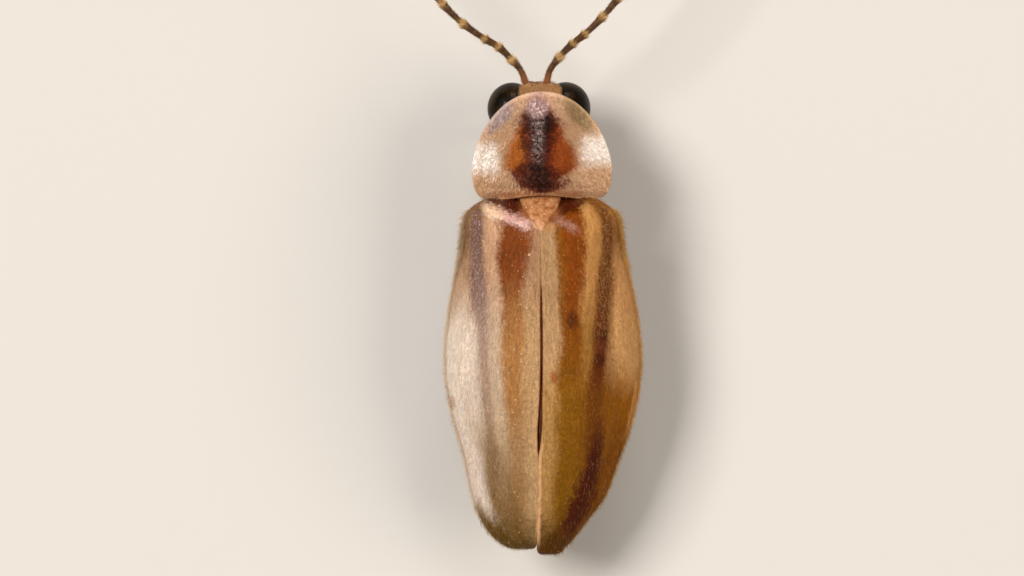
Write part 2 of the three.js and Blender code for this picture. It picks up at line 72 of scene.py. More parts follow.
def curve(*pairs):
    # a cubic through the pairs, each slope that of the chord between the two neighbours
    at, value = np.array(pairs, float).T
    index = np.arange(len(at))
    before = np.maximum(index - 1, 0)
    after = np.minimum(index + 1, len(at) - 1)
    slope = (value[after] - value[before]) / (at[after] - at[before])

    def reading(place):
        place = np.clip(place, at[0], at[-1])
        i = np.clip(np.searchsorted(at, place, side="right") - 1, 0, len(at) - 2)
        length = at[i + 1] - at[i]
        t = (place - at[i]) / length
        rise = value[i + 1] - value[i]
        start = slope[i] * length - rise
        finish = rise - slope[i + 1] * length
        return value[i] + t * rise + t * (1 - t) * (start * (1 - t) + finish * t)

    return reading


def ease(x, low, high):
    # 0 up to low and 1 from high, with 3t^2 - 2t^3 between them
    t = np.clip((x - low) / (high - low), 0, 1)
    return t * t * (3 - 2 * t)


def blend(a, b, t):
    return a + (b - a) * t


def bump(x, middle, width):
    # a bell that is 1 in the middle and 1/e at its width from there
    return np.exp(-(((x - middle) / width) ** 2))


def unit(vectors):
    return vectors / np.maximum(np.linalg.norm(vectors, axis=-1, keepdims=True), 1e-12)


def mirrored(points, side):
    return np.asarray(points, float) * [side, 1, 1]


def joined(*axes):
    # points from one array for each axis
    return np.stack(np.broadcast_arrays(*axes), -1)


def grid(rows, turns, closed=False):
    # v for each row and u for each place along it, both 0 to 1; a closed row doesn't repeat its start
    return np.meshgrid(np.linspace(0, 1, rows), np.linspace(0, 1, turns, endpoint=not closed), indexing="ij")


def distances(path):
    # how far along a path each of its points lies
    return np.concatenate([[0], np.cumsum(np.linalg.norm(np.diff(path, axis=0), axis=1))])


def pointsAt(places, reach, path):
    # where a path is at some places, by the place that reach gives for each of its points
    return np.stack([np.interp(places, reach, axis) for axis in path.T], -1)


def route(points, count, denseEnds=0.0):
    # a smooth path through the points, with its own direction at each of count places
    points = np.asarray(points, float)
    reach = distances(points)
    k = np.linspace(0, 1, count)
    k = blend(k, (1 - np.cos(np.pi * k)) / 2, denseEnds)
    path = np.stack([curve(*zip(reach, axis))(k * reach[-1]) for axis in points.T], -1)
    return path, unit(np.gradient(path, axis=0)), k, reach[-1]


def limb(points, radii, turns=16, rows=24, flat=1.0, up=(0, 0, 1), roundEnds=True):
    # rings along a path: radii are pairs of a place k from 0 to 1 and the radius across there, and
    # flat times that is the radius upwards; the ends are hemispheres where roundEnds says so
    path, along, k, length = route(points, rows, 1.0)
    across = unit(np.cross(along, np.asarray(up, float)))
    lift = np.cross(across, along)
    size = curve(*radii)(k)
    if roundEnds:
        fromEnd = np.minimum(k, 1 - k) * length
        size = size * np.sqrt(np.clip(1 - np.clip(1 - fromEnd / size, 0, 1) ** 2, 0.02, 1))
    angle = np.linspace(0, 2 * np.pi, turns, endpoint=False)
    ring = across[:, None] * np.sin(angle)[:, None] + lift[:, None] * flat * np.cos(angle)[:, None]
    return path[:, None] + size[:, None, None] * ring


def shellRings(top, thickness):
    # a closed shell: the top, a round rim, the underside at a distance along the normals, and the
    # other rim; the rows of top become the rings
    over = np.gradient(top, axis=1)
    down = np.gradient(top, axis=0)
    normal = unit(np.cross(over, down))
    normal = np.where(normal[..., 2:] < 0, -normal, normal)
    under = top - normal * thickness
    angle = np.linspace(0, np.pi, 6)[1:-1, None]

    def rim(edge, outward, up):
        swing = np.sin(angle) * outward[:, None] + np.cos(angle) * up[:, None]
        return (edge - up * thickness / 2)[:, None] + swing * thickness / 2

    outerRim = rim(top[:, -1], unit(over[:, -1]), normal[:, -1])
    innerRim = rim(top[:, 0], -unit(over[:, 0]), normal[:, 0])
    return np.concatenate([top, outerRim, under[:, ::-3], innerRim[:, ::-1]], 1)


# Meshes: closed surfaces are gathered into one form, and each form becomes one piece

def noMarks(points):
    return {}


def makePiece(name, points, corners, sizes, marks, material, replaced=(), bakeMap=None):
    # corners are those of all faces in turn and sizes how many each face has; marks holds a number
    # for each point under each word, for the material; bakeMap has a place for each corner
    mesh = bpy.data.meshes.new(name)
    mesh.vertices.add(len(points))
    mesh.vertices.foreach_set("co", (points * mm + bodyOrigin).astype(np.float32).ravel())
    mesh.loops.add(len(corners))
    mesh.loops.foreach_set("vertex_index", corners.astype(np.int32))
    mesh.polygons.add(len(sizes))
    mesh.polygons.foreach_set("loop_start", (np.cumsum(sizes) - sizes).astype(np.int32))
    mesh.polygons.foreach_set("use_smooth", np.ones(len(sizes), bool))
    mesh.update(calc_edges=True)
    if bakeMap is not None:
        mesh.uv_layers.new(name="OFBake").data.foreach_set("uv", bakeMap.ravel())
    for word, values in marks.items():
        mesh.attributes.new(word, "FLOAT", "POINT").data.foreach_set("value", values)
    mesh.materials.append(material)
    piece = bpy.data.objects.new(name, mesh)
    bpy.context.scene.collection.objects.link(piece)
    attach(piece, "root")
    if replaced:
        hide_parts(*replaced)
    print("made", name, len(sizes), "faces")


class Form:
    def __init__(self):
        self.points, self.corners, self.sizes, self.tints = [], [], [], []
        self.count = 0

    # rings[row, turn] are closed rings, and a middle point closes each end; tint is 0 to 1 per
    # point, and tells a material where on its surface it is
    def add(self, rings, tint=0.0):
        rows, turns = rings.shape[:2]
        around = np.arange(turns)
        onward = (around + 1) % turns
        row = np.arange(rows - 1)[:, None] * turns
        below = row + turns
        quads = joined(row + around, row + onward, below + onward, below + around).reshape(-1, 4)
        front = rows * turns
        fans = np.concatenate([
            joined(front, onward, around), joined(front + 1, front - turns + around, front - turns + onward),
        ])
        points = np.concatenate([rings.reshape(-1, 3), [rings[0].mean(0), rings[-1].mean(0)]])
        a, b, c = points[np.concatenate([quads[:, :3], quads[:, [0, 2, 3]], fans])].transpose(1, 0, 2)
        volume = (a * np.cross(b, c)).sum()
        if volume < 0:
            quads, fans = quads[:, ::-1], fans[:, ::-1]
        tints = np.broadcast_to(tint, (rows, turns)).ravel()
        self.points.append(points)
        self.corners += [quads.ravel() + self.count, fans.ravel() + self.count]
        self.sizes += [np.full(len(quads), 4), np.full(len(fans), 3)]
        self.tints.append(np.concatenate([tints, tints[:1], tints[-1:]]))
        self.count += len(points)
        return rings

    # marks works out more numbers for the material from the points
    def build(self, name, material, slot, replaced=(), marks=noMarks):
        points, corners, sizes, tints = map(
            np.concatenate, (self.points, self.corners, self.sizes, self.tints))
        makePiece(name, points, corners, sizes, {"tint": tints, **marks(points)}, material, replaced)


def makeShape(name, rings, material, slot, replaced, marks=noMarks):
    # a piece of one closed surface
    form = Form()
    form.add(rings)
    form.build(name, material, slot, replaced, marks)


# Hair: thin three-sided spikes, each with a small patch of the bake's map at its root's place

hairShape = {
    "angles": (np.pi / 2, np.pi / 2 + 2.1, np.pi / 2 + 4.2),     # of the corners round a hair
    "middleWidth": 0.36,                # the radius half-way, as a share of the width at the root
    "tipLift": 0.25,                    # how much of the lift the outer half keeps
    "length": (0.65, 1.25),             # the least and the most, as shares of a coat's own
    "uneven": (0.5, 1.5),               # the same for the lift and the paleness
    "patch": 0.003,
    "patchPlaces": [(0, 0), (0.5, 0), (1, 0), (0, 0.6), (0.5, 0.6), (1, 0.6), (0.5, 1)],
    "corners": [0, 1, 4, 3, 1, 2, 5, 4, 2, 0, 3, 5, 3, 4, 6, 4, 5, 6, 5, 3, 6, 2, 1, 0],
    "sizes": [4, 4, 4, 3, 3, 3, 3],
}


def scatter(rings, count, draw, inside, closed=True, weight=lambda place: 1):
    # places spread over rings of points by area; inside holds a point per row to face away from
    corner = np.concatenate([rings, rings[:, :1]], 1) if closed else rings
    down = corner[1:, :-1] - corner[:-1, :-1]
    over = corner[:-1, 1:] - corner[:-1, :-1]
    area = np.linalg.norm(np.cross(down, over), axis=-1) * weight(corner[:-1, :-1] + (down + over) / 2)
    total = np.cumsum(area.ravel())
    aim = (np.arange(count) + draw.random(count)) / count * total[-1]
    cell = np.minimum(np.searchsorted(total, aim), len(total) - 1)
    i, j = np.divmod(cell, area.shape[1])
    a, b = draw.random((2, count, 1))
    near = blend(corner[i, j], corner[i + 1, j], a)
    place = blend(near, blend(corner[i, j + 1], corner[i + 1, j + 1], a), b)
    normal = unit(np.cross(down[i, j], over[i, j]))
    normal *= np.sign(np.einsum("ij,ij->i", normal, place - inside[i]))[:, None]
    chart = np.stack([(j + b[:, 0]) / area.shape[1], (i + a[:, 0]) / area.shape[0]], -1)
    return {"place": place, "normal": normal, "along": unit(down[i, j]), "chart": chart}


class Coat:
    # tiles is how many of the forms under the coat lie side by side in the bake's map
    def __init__(self, draw, tiles=1):
        self.draw, self.tiles = draw, tiles
        self.points, self.maps, self.tints, self.pales, self.roots = [], [], [], [], []

    # lie is the way the hairs point before they are lifted by lift times the normal; tint is that
    # of the form under them, and pale draws each hair from that form's colour to its own
    def grow(self, spots, lie, length, lift=0.35, width=0.012, pale=0.3, tint=0.0, spread=0.25):
        place, normal = spots["place"], spots["normal"]
        count = len(place)
        lie = lie - normal * np.einsum("ij,ij->i", lie, normal)[:, None]
        lie = unit(unit(lie) + spread * self.draw.normal(size=(count, 3)) * 0.6)
        lift = lift * self.draw.uniform(*hairShape["uneven"], (count, 1))
        point = unit(lie + normal * lift)
        flatter = unit(lie + normal * lift * hairShape["tipLift"])
        long = length * self.draw.uniform(*hairShape["length"], (count, 1))
        side = unit(np.cross(point, normal))
        rise = np.cross(side, point)
        angle = np.array(hairShape["angles"])[:, None]
        ring = side[:, None] * np.cos(angle) + rise[:, None] * np.sin(angle)
        middle = place + point * long / 2
        hairs = np.concatenate([
            (place - normal * width)[:, None] + ring * width / 2,
            middle[:, None] + ring * width * hairShape["middleWidth"],
            (middle + flatter * long / 2)[:, None],
        ], 1)
        hairs[..., 2] = np.maximum(hairs[..., 2], leastHeight)
        patch = np.array(hairShape["patchPlaces"]) * hairShape["patch"]
        corner = np.array(divmod(len(self.maps), self.tiles))[::-1]
        chart = (corner + 0.02 + 0.96 * spots["chart"]) / self.tiles
        self.points.append(hairs)
        self.roots.append(place)
        self.maps.append(chart[:, None] * (1 - hairShape["patch"]) + patch)
        self.tints.append(np.broadcast_to(tint, count))
        self.pales.append(np.clip(pale * self.draw.uniform(*hairShape["uneven"], count), 0, 1))

    def build(self, name, material, slot, marks=noMarks):
        points, maps, tints, pales, roots = map(
            np.concatenate, (self.points, self.maps, self.tints, self.pales, self.roots))
        count, places = points.shape[:2]
        corners = (np.arange(count)[:, None] * places + hairShape["corners"]).ravel()
        marks = {"tint": tints, "pale": pales, **marks(roots)}
        makePiece(
            name, points.reshape(-1, 3), corners, np.tile(hairShape["sizes"], count),
            {word: np.repeat(values, places) for word, values in marks.items()}, material,
            bakeMap=maps.reshape(-1, 2)[corners])


# Shader maths written as expressions

def colour(code):
    # the linear colour of a six-digit screen colour
    parts = np.array([int(code[i:i + 2], 16) / 255 for i in (0, 2, 4)])
    linear = np.where(parts < 0.04045, parts / 12.92, ((parts + 0.055) / 1.055) ** 2.4)
    return (*linear.tolist(), 1.0)


def fillRamp(ramp, stops):
    # stops are pairs of a place from 0 to 1 and a colour code, in order
    for place, _ in stops[2:]:
        ramp.elements.new(place)
    for element, (place, code) in zip(ramp.elements, stops):
        element.position = place
        element.color = colour(code)


class Wire:
    def __init__(self, shader, socket):
        self.shader = shader
        self.socket = socket

    def maths(self, operation, *values):
        return self.shader.node("ShaderNodeMath", {"operation": operation}, dict(enumerate(values)))

    def __add__(self, other):
        return self.maths("ADD", self, other)

    def __sub__(self, other):
        return self.maths("SUBTRACT", self, other)

    def __mul__(self, other):
        return self.maths("MULTIPLY", self, other)

    def __rsub__(self, other):
        return self.maths("SUBTRACT", other, self)

    def __abs__(self):
        return self.maths("ABSOLUTE", self)

    __radd__ = __add__
    __rmul__ = __mul__

    def step(self, low, high, start=0.0, end=1.0):
        # a smooth step from start at low to end at high
        return self.shader.node(
            "ShaderNodeMapRange", {"interpolation_type": "SMOOTHSTEP"},
            {0: self, 1: low, 2: high, 3: start, 4: end},
        )

    def band(self, low, high, soft):
        return self.step(low - soft, low + soft) * self.step(high - soft, high + soft, 1.0, 0.0)


def squares(*terms):
    # the sum of the squares of wires, each times the weight beside it
    return reduce(add, [wire * wire * weight for wire, weight in terms])


class Shader:
    def __init__(self, name):
        self.material = bpy.data.materials.new(name)
        self.material.use_nodes = True
        self.tree = self.material.node_tree
        self.tree.nodes.clear()

    def node(self, kind, settings, inputs, output=0):
        made = self.tree.nodes.new(kind)
        for key, value in settings.items():
            if key == "stops":
                fillRamp(made.color_ramp, value)
            else:
                setattr(made, key, value)
        for key, value in inputs.items():
            if isinstance(value, Wire):
                self.tree.links.new(value.socket, made.inputs[key])
            else:
                made.inputs[key].default_value = value
        return Wire(self, made.outputs[output]) if made.outputs else None

    def vector(self, operation, **inputs):
        # a, b and c are vectors, and Scale is a number
        places = {"a": 0, "b": 1, "c": 2}
        named = {places.get(key, key): value for key, value in inputs.items()}
        return self.node("ShaderNodeVectorMath", {"operation": operation}, named)

    def place(self):
        # body millimetres, from the piece's own coordinates
        coordinates = self.node("ShaderNodeTexCoord", {}, {}, "Object")
        return self.vector("MULTIPLY_ADD", a=coordinates, b=(1 / mm,) * 3, c=(-bodyOrigin / mm).tolist())

    def axes(self, vector):
        split = self.node("ShaderNodeSeparateXYZ", {}, {0: vector})
        return [Wire(self, output) for output in split.socket.node.outputs]

    def stretched(self, vector, scale):
        return self.vector("MULTIPLY", a=vector, b=scale)

    def noise(self, vector, scale, detail=3.0, roughness=0.55):
        inputs = {"Vector": vector, "Scale": scale, "Detail": detail, "Roughness": roughness}
        return self.node("ShaderNodeTexNoise", {}, inputs)

    def cells(self, vector, scale):
        return self.node("ShaderNodeTexVoronoi", {}, {"Vector": vector, "Scale": scale})

    def attribute(self, name):
        return self.node("ShaderNodeAttribute", {"attribute_name": name}, {}, "Fac")

    def mix(self, first, second, share):
        return self.node("ShaderNodeMix", {"data_type": "RGBA"}, {0: share, 6: first, 7: second}, 2)

    def painted(self, tone, paint, layers):
        # each layer is the share of a colour laid over the rest, under that colour's word in paint,
        # or under a tone of its own
        for word, share in layers:
            over = colour(paint[word]) if isinstance(word, str) else word
            tone = self.mix(tone, over, share)
        return tone

    def stripes(self, band, codes, soft):
        # one colour for each whole number of band, and a border as wide as soft between two
        count = len(codes)
        edges = (soft / 2, 1 - soft / 2)
        stops = [((index + edge) / count, code) for index, code in enumerate(codes) for edge in edges]
        return self.node("ShaderNodeValToRGB", {"stops": stops}, {0: band * (1 / count)})

    def shaded(self, tone, factor):
        # the colour made lighter or darker without a change of hue
        return self.vector("SCALE", a=tone, Scale=factor)

    def relief(self, *layers):
        # bumps laid over one another, each a height, its depth in millimetres and its strength
        under = {}
        for height, depth, strength in layers:
            inputs = {"Strength": strength, "Distance": depth * mm, "Height": height, **under}
            under = {"Normal": self.node("ShaderNodeBump", {}, inputs)}
        return under["Normal"]

    def finish(self, base, rough, normal=None, **constants):
        inputs = {"Base Color": base, "Roughness": rough}
        if normal is not None:
            inputs["Normal"] = normal
        for key, value in constants.items():
            inputs[key.replace("_", " ")] = value
        principled = self.node("ShaderNodeBsdfPrincipled", {}, inputs)
        self.node("ShaderNodeOutputMaterial", {}, {"Surface": principled})
        return self.material


def grainedMaterial(name, paint, grain, rough, depth, stretch=None, **constants):
    # one grain, the scale and detail of a noise, stands out by depth and makes the surface rougher
    # between the two values of rough; paint works out the colour at a place
    shader = Shader(name)
    place = shader.place()
    if stretch:
        place = shader.stretched(place, stretch)
    mottle = shader.noise(place, *grain)
    roughness = mottle * (rough[1] - rough[0]) + rough[0]
    return shader.finish(paint(shader, place), roughness, shader.relief((mottle, depth, 1.0)), **constants)


def twoTones(shader, place, codes, scale, low=0.4):
    return shader.mix(colour(codes[0]), colour(codes[1]), shader.noise(place, scale).step(low, 0.7))


def hairMaterial(name, paint, paler):
    # hair carries the colour of what it grows from, drawn towards its own paler one
    shader = Shader(name)
    pale = shader.attribute("pale")
    tone = shader.mix(paint(shader, shader.place()), colour(paler), pale)
    return shader.finish(tone, pale * -0.1 + 0.5, Specular_IOR_Level=0.08)


# Wing cases

wingCase = {
    "start": 2.86,          # the root, hidden under the rear edge of the pronotum
    "apexFrom": 12.3,       # where the tail end starts to round off
    "end": {1: 12.87, -1: 13.03},
    "apexX": {1: 0.42, -1: 0.4},
    "thickness": 0.11,
    "rootDrop": 0.32,       # how far the root turns down behind the pronotum
    "rows": 260, "places": 88, "seed": 11,
    "hairs": 17400, "hair": {"length": 0.15, "width": 0.0065, "spread": 0.22},
    # longer hairs along the hem, densest on the shoulders
    "fringe": 2100, "fringeHair": {"lift": 0.5, "width": 0.0095, "pale": 0.6, "spread": 0.5},
    "fringeFrom": 3.25,
}
# front, middle and rear list the colours of the seam strip, the broad band, the pale line, the dark
# stripe and the margin; toMiddle and toRear say over which lengths each turns into the next. The
# left margin's whiter colours are partly painted sheen, and the right side's darker rear and margin
# partly painted shade. Painted shade also lies on the shoulders, behind the pronotum's rear edge,
# along the slit, inside the left rear edge and on the right tail's dark patch; painted highlights
# lie along the rims, on the shiny swelling behind the root and beside the seam there, and as
# purplish specks in the dark stripe. swelling is the shiny one behind the root, with a painted
# highlight and a real coat: how it slants, where it lies and how strong it is
wingPaint = {
    "left": {
        "front": ["a57d5c", "7c3a06", "c89e7e", "84604e", "be9878"],
        "middle": ["bc966a", "ac7842", "ccb298", "b49682", "e6d5c5"],
        "rear": ["bc9a6e", "aa845c", "c4a884", "a68a68", "d8c2ac"],
        "toMiddle": (4.7, 7.2), "toRear": (8.2, 10.2), "lilac": "c8b4c4",
        "shoulder": "7e5632", "behind": "8e6a34", "tail": "644608", "rim": "ecdfd2", "recess": "4a1606",
        "scutellum": "9a6038", "glossHighlight": "e6bcb2", "cream": "f4d2b0", "bead": "d0a478", "slit": "7a3a14",
        "smoke": "755032", "rearRim": "eadacd", "rust": "a86c40", "hair": "e4c8a0",
        "swelling": (0.4, (3.74, 4.04, 0.12), (0.26, 1.62, 0.12), 1.0), "recessShadeEnd": 1.5,
        "rootHighlight": (0.08, 3.68),
    },
    "right": {
        "front": ["ae8a62", "844004", "c08c50", "723a00", "c4925e"],
        "middle": ["bc966a", "844a02", "a07030", "662600", "c89a64"],
        "rear": ["b48a52", "885808", "865204", "743e02", "945800"],
        "toMiddle": (5.6, 7.2), "toRear": (7.4, 8.8), "lilac": "a8886c",
        "shoulder": "84521e", "behind": "845808", "tail": "583404", "rim": "d09858", "recess": "441002",
        "scutellum": "8e5028", "glossHighlight": "b8887c", "cream": "c08c5c", "bead": "dcae80", "slit": "7a3a14",
        "outer": "844a08", "patch": "4e1000", "olive": "86540c", "spot": "421402", "blush": "a04e18",
        "hair": "d8a85c", "swelling": (-0.5, (3.28, 3.46, 0.14), (0.42, 1.1, 0.18), 0.85), "recessShadeEnd": 1.3,
        "rootHighlight": (0.26, 3.84), "spots": [(1.74, 6.85, 0.2), (0.86, 6.4, 0.28), (1.62, 7.5, 0.22)],
    },
}
outerEdge = curve(
    (2.86, 1.3), (3.05, 1.66), (3.2, 1.89), (3.35, 2.04), (3.55, 2.13), (4.0, 2.18), (4.5, 2.24),
    (5.5, 2.48), (6.5, 2.65), (7.4, 2.73), (8.3, 2.68), (9.2, 2.5), (10.0, 2.28), (10.9, 1.98),
    (11.6, 1.68), (12.1, 1.38), (12.5, 1.12), (12.86, 0.9),
)
# the left wing case is wider towards the tail, the right one wider in front and narrower behind
widening = {
    1: curve((10.2, 0), (11.2, 0.16), (12.0, 0.32), (12.5, 0.34), (12.86, 0.32)),
    -1: curve(
        (3.2, 0), (3.6, 0.08), (9.4, 0.07), (10.4, 0), (11.4, -0.02), (12.1, -0.15), (12.86, -0.2)),
}
# the seam wanders to the animal's left behind the middle; seamGap is half the slit along it, and
# seamRoot how far each wing case keeps from the middle beside the scutellum
seamLine = curve(
    (4.0, 0), (6.2, 0), (7.2, 0.0), (8.2, 0.02), (9.2, 0.06), (10.2, 0.11), (11.2, 0.12), (12.0, 0.15),
    (12.9, 0.18),
)
seamGap = curve(
    (3.95, 0.02), (4.4, 0.02), (5.2, 0.02), (5.8, 0.045), (6.6, 0.058), (7.6, 0.06), (8.6, 0.066),
    (9.5, 0.085), (10.0, 0.055), (10.3, 0.02), (12.9, 0.02),
)
seamRoot = curve((2.86, 0.64), (3.3, 0.48), (3.7, 0.2), (3.95, 0.0), (4.2, -0.3), (12.9, -0.3))
# how far from the middle line the seam strip, the broad band, the pale line and the dark stripe end
stripeEnds = {
    1: [
        curve((3.8, 0.16), (4.3, 0.24), (4.9, 0.4), (5.8, 0.52), (6.8, 0.48), (8.2, 0.56), (10.0, 0.42)),
        curve((3.8, 1.24), (4.3, 1.24), (5.2, 1.12), (6.2, 1.1), (8.2, 1.1), (10.0, 0.95)),
        curve((3.8, 1.6), (4.3, 1.64), (5.2, 1.55), (6.2, 1.5), (8.2, 1.44), (10.0, 1.3)),
        curve((3.8, 1.98), (4.3, 2.0), (5.2, 1.96), (6.2, 1.88), (7.2, 1.76), (10.0, 1.6)),
    ],
    -1: [
        curve((3.8, 0.42), (5.2, 0.5), (6.2, 0.52), (7.2, 0.56), (8.2, 0.4), (10.0, 0.34)),
        curve((3.8, 1.34), (4.3, 1.36), (5.2, 1.24), (6.2, 1.12), (7.2, 1.14), (8.2, 1.1), (10.0, 1.0)),
        curve((3.8, 1.74), (4.3, 1.72), (5.2, 1.6), (6.2, 1.52), (7.2, 1.42), (8.2, 1.3), (10.0, 1.2)),
        curve((3.8, 2.06), (5.2, 1.98), (6.2, 1.94), (7.2, 1.88), (8.2, 1.8), (10.0, 1.6)),
    ],
}
stripeLimits = [0.3, 0.55, 0.75, 0.93]       # the same ends as shares of the width, where it is narrow
# the middle of the right wing case's dark patch of painted shade, and half its width
shadePatchMiddle = curve(
    (8.4, 1.74), (9.7, 1.58), (10.3, 1.46), (10.9, 1.3), (11.54, 1.08), (12.05, 0.84), (12.6, 0.58))
shadePatchWidth = curve(
    (8.4, 0.12), (9.7, 0.17), (10.3, 0.22), (10.9, 0.3), (11.54, 0.34), (12.05, 0.28), (12.6, 0.2))
# the heights of the back's middle and of the hem, the width of the brim along the hem and how much
# of it shows, and the two ribs
crest = curve(
    (3.2, 4.12), (3.7, 4.52), (4.7, 4.82), (6.2, 4.92), (8.0, 4.86), (10.0, 4.45), (11.6, 3.85),
    (12.86, 3.2),
)
hem = curve((3.2, 3.85), (3.7, 3.5), (4.7, 3.12), (6.5, 2.85), (9.0, 2.72), (11.0, 2.62), (12.86, 2.75))
brimWidth = curve(
    (3.2, 0.12), (4.4, 0.24), (5.8, 0.62), (7.0, 0.8), (8.2, 0.6), (9.4, 0.36), (11.4, 0.32), (12.86, 0.22))
brimShare = curve((3.2, 0.1), (4.4, 0.6), (6.0, 0.72), (10.5, 0.65), (12.0, 0.4), (12.86, 0.2))
ribLine = curve((3.4, 1.5), (4.4, 1.42), (5.8, 1.3), (7.0, 1.22), (10.0, 1.0), (12.5, 0.55))
innerRibLine = curve((3.8, 0.3), (4.4, 0.36), (5.8, 0.5), (7.0, 0.56), (10.0, 0.5), (12.5, 0.3))


def backHeight(x, outer, y):
    # the height of the back from the seam out to x = outer, where the hem lies: a dome, blended with
    # a disc that drops to a crease and a convex brim outside it
    share = np.clip(x / outer, 0, 1)
    width = brimWidth(y)
    dome = (1 - share ** 2.4) ** 0.72
    creaseAt = 1 - width / outerEdge(y)
    brimRise = (0.12 + 0.75 * width) / (crest(y) - hem(y))
    disc = 1 - (1 - brimRise) * (share / creaseAt) ** 2.6
    brim = brimRise * (1 - ((share - creaseAt) / (1 - creaseAt)) ** 2)
    creased = blend(disc, brim, ease(share, creaseAt - 0.11, creaseAt + 0.11))
    return (crest(y) - hem(y)) * blend(dome, creased, brimShare(y))


def wingEdges(side, y):
    # how far the seam and the hem lie from the middle line on one side
    seam = np.maximum(seamGap(y) + side * seamLine(y), seamRoot(y))
    return seam, outerEdge(y) + widening[side](y)


def wingMarks(side, points):
    # band counts the stripes outwards from 0 at the seam to 5 at the hem, seam and edge are the
    # distances from these two, and dark that from the middle of the dark patch, painted shade, in
    # its half-widths
    x, y = side * points[:, 0], points[:, 1]
    seam, hemAt = wingEdges(side, y)
    ends = [np.minimum(end(y), limit * hemAt) for end, limit in zip(stripeEnds[side], stripeLimits)]
    borders = [np.minimum(seam, ends[0] - 0.05), *ends, hemAt]
    band = sum(np.clip((x - near) / (far - near), 0, 1) for near, far in zip(borders, borders[1:]))
    return {"band": band, "seam": x - seam, "edge": hemAt - x, "dark": np.abs(x - shadePatchMiddle(y)) / shadePatchWidth(y)}


def wingCaseTop(side, u, v):
    # u runs from the seam to the hem, v from the root to the tail; the last tenth of v is an arc
    # that rounds the tail end off, at the hem more than at the seam
    start, apexFrom, end = wingCase["start"], wingCase["apexFrom"], wingCase["end"][side]
    turn = np.clip((v - 0.9) / 0.1, 0, 1) * np.pi / 2 * 0.985
    y = np.where(v < 0.9, blend(start, apexFrom, v / 0.9), blend(apexFrom, end, np.sin(turn)))
    closing = np.cos(turn)
    apexX = wingCase["apexX"][side] + side * seamLine(y)
    seam, edge = wingEdges(side, y)
    outer = apexX + (edge - apexX) * closing ** 0.56
    inner = apexX - (apexX - seam) * closing ** 0.14
    x = blend(inner, outer, 1 - (1 - u) ** 1.5)
    z = hem(y) + backHeight(x, outer, y) * closing ** 0.7
    z = z - wingCase["rootDrop"] * (1 - ease(y, start, start + 0.42))
    inland = ease(u, 1.0, 0.85) * closing
    rib = 0.014 * bump(x, ribLine(y), 0.1) * (1 - ease(y, 7.5, 12)) * inland
    innerRib = 0.012 * bump(x, innerRibLine(y), 0.1) * (1 - ease(y, 8.5, 12)) * inland
    seamBead = 0.03 * bump(x - inner, 0.045, 0.045) * ease(y, 4.0, 4.6) * closing
    shoulder = 0.06 * bump(x, 1.6, 0.3) * bump(y, 3.75, 0.35)
    callus = 0.1 * bump(y + 0.4 * x, 3.9, 0.2) * ease(x, 0.15, 0.4) * ease(x, 1.9, 1.5)
    pit = 0.08 * bump(x, 0.85, 0.32) * bump(y, 3.22, 0.12)
    waves = 0.012 * np.sin(x * 5.1 + y * 2.3) * np.sin(y * 3.7 - x * 2.9) * inland
    return joined(side * x, y, z + rib + innerRib + seamBead + shoulder + callus - pit + waves)


def makeWingCase(word, material, hairFinish):
    side = sides[word]
    marks = partial(wingMarks, side)
    v, u = grid(wingCase["rows"], wingCase["places"])
    top = wingCaseTop(side, u, v)
    rings = shellRings(top, wingCase["thickness"])
    makeShape(f"wingCase_{word}", rings, material, "wing_case", [f"elytron_{word}"], marks)

    draw = np.random.default_rng(wingCase["seed"] + side)
    inside = top.mean(1) - [0, 0, 4]
    spots = scatter(top, wingCase["hairs"], draw, inside, closed=False)
    share = spots["chart"][:, :1]
    outwards = np.array([side, 0, 0]) * (0.1 + 0.75 * share ** 5)
    # pale curls stand in the right wing case's dark stripe
    stripe = marks(spots["place"])["band"]
    curls = (side < 0) * (np.abs(stripe - 3.5) < 0.45) * (spots["place"][:, 1] < 6.8)
    # a tenth of the hairs are much paler, as painted glints
    chance = draw.random(len(share))
    pale = 0.05 + 0.45 * (chance > 0.9) + 0.7 * curls * (chance < 0.22)
    coat = Coat(draw, 2)
    coat.grow(spots, spots["along"] + outwards, lift=0.12 + 0.4 * share ** 4, pale=pale, **wingCase["hair"])

    def density(place):
        y = place[..., 1]
        return (1 + 2.5 * ease(y, 5.4, 4.2)) * (y > wingCase["fringeFrom"])

    fringe = scatter(top[:, -9:], wingCase["fringe"], draw, inside, closed=False, weight=density)
    length = 0.2 + 0.09 * ease(fringe["place"][:, 1:2], 5.6, 4.2)
    coat.grow(fringe, fringe["along"] + np.array([side, 0, 0]) * 0.8, length, **wingCase["fringeHair"])
    coat.build(f"wingCaseHair_{word}", hairFinish, "wing_case", marks)


def wingGloss(shader, place, word):
    # how strongly the shiny swelling behind the root shows, 0 to 1; it sets both its painted highlight and
    # its real coat
    slant, alongBand, acrossBand, most = wingPaint[word]["swelling"]
    x, y, _ = shader.axes(place)
    x = abs(x)
    grain = shader.noise(place, 9.0, 4.0, 0.7) - 0.5
    return (y + x * slant + grain * 0.6).band(*alongBand) * x.band(*acrossBand) * most


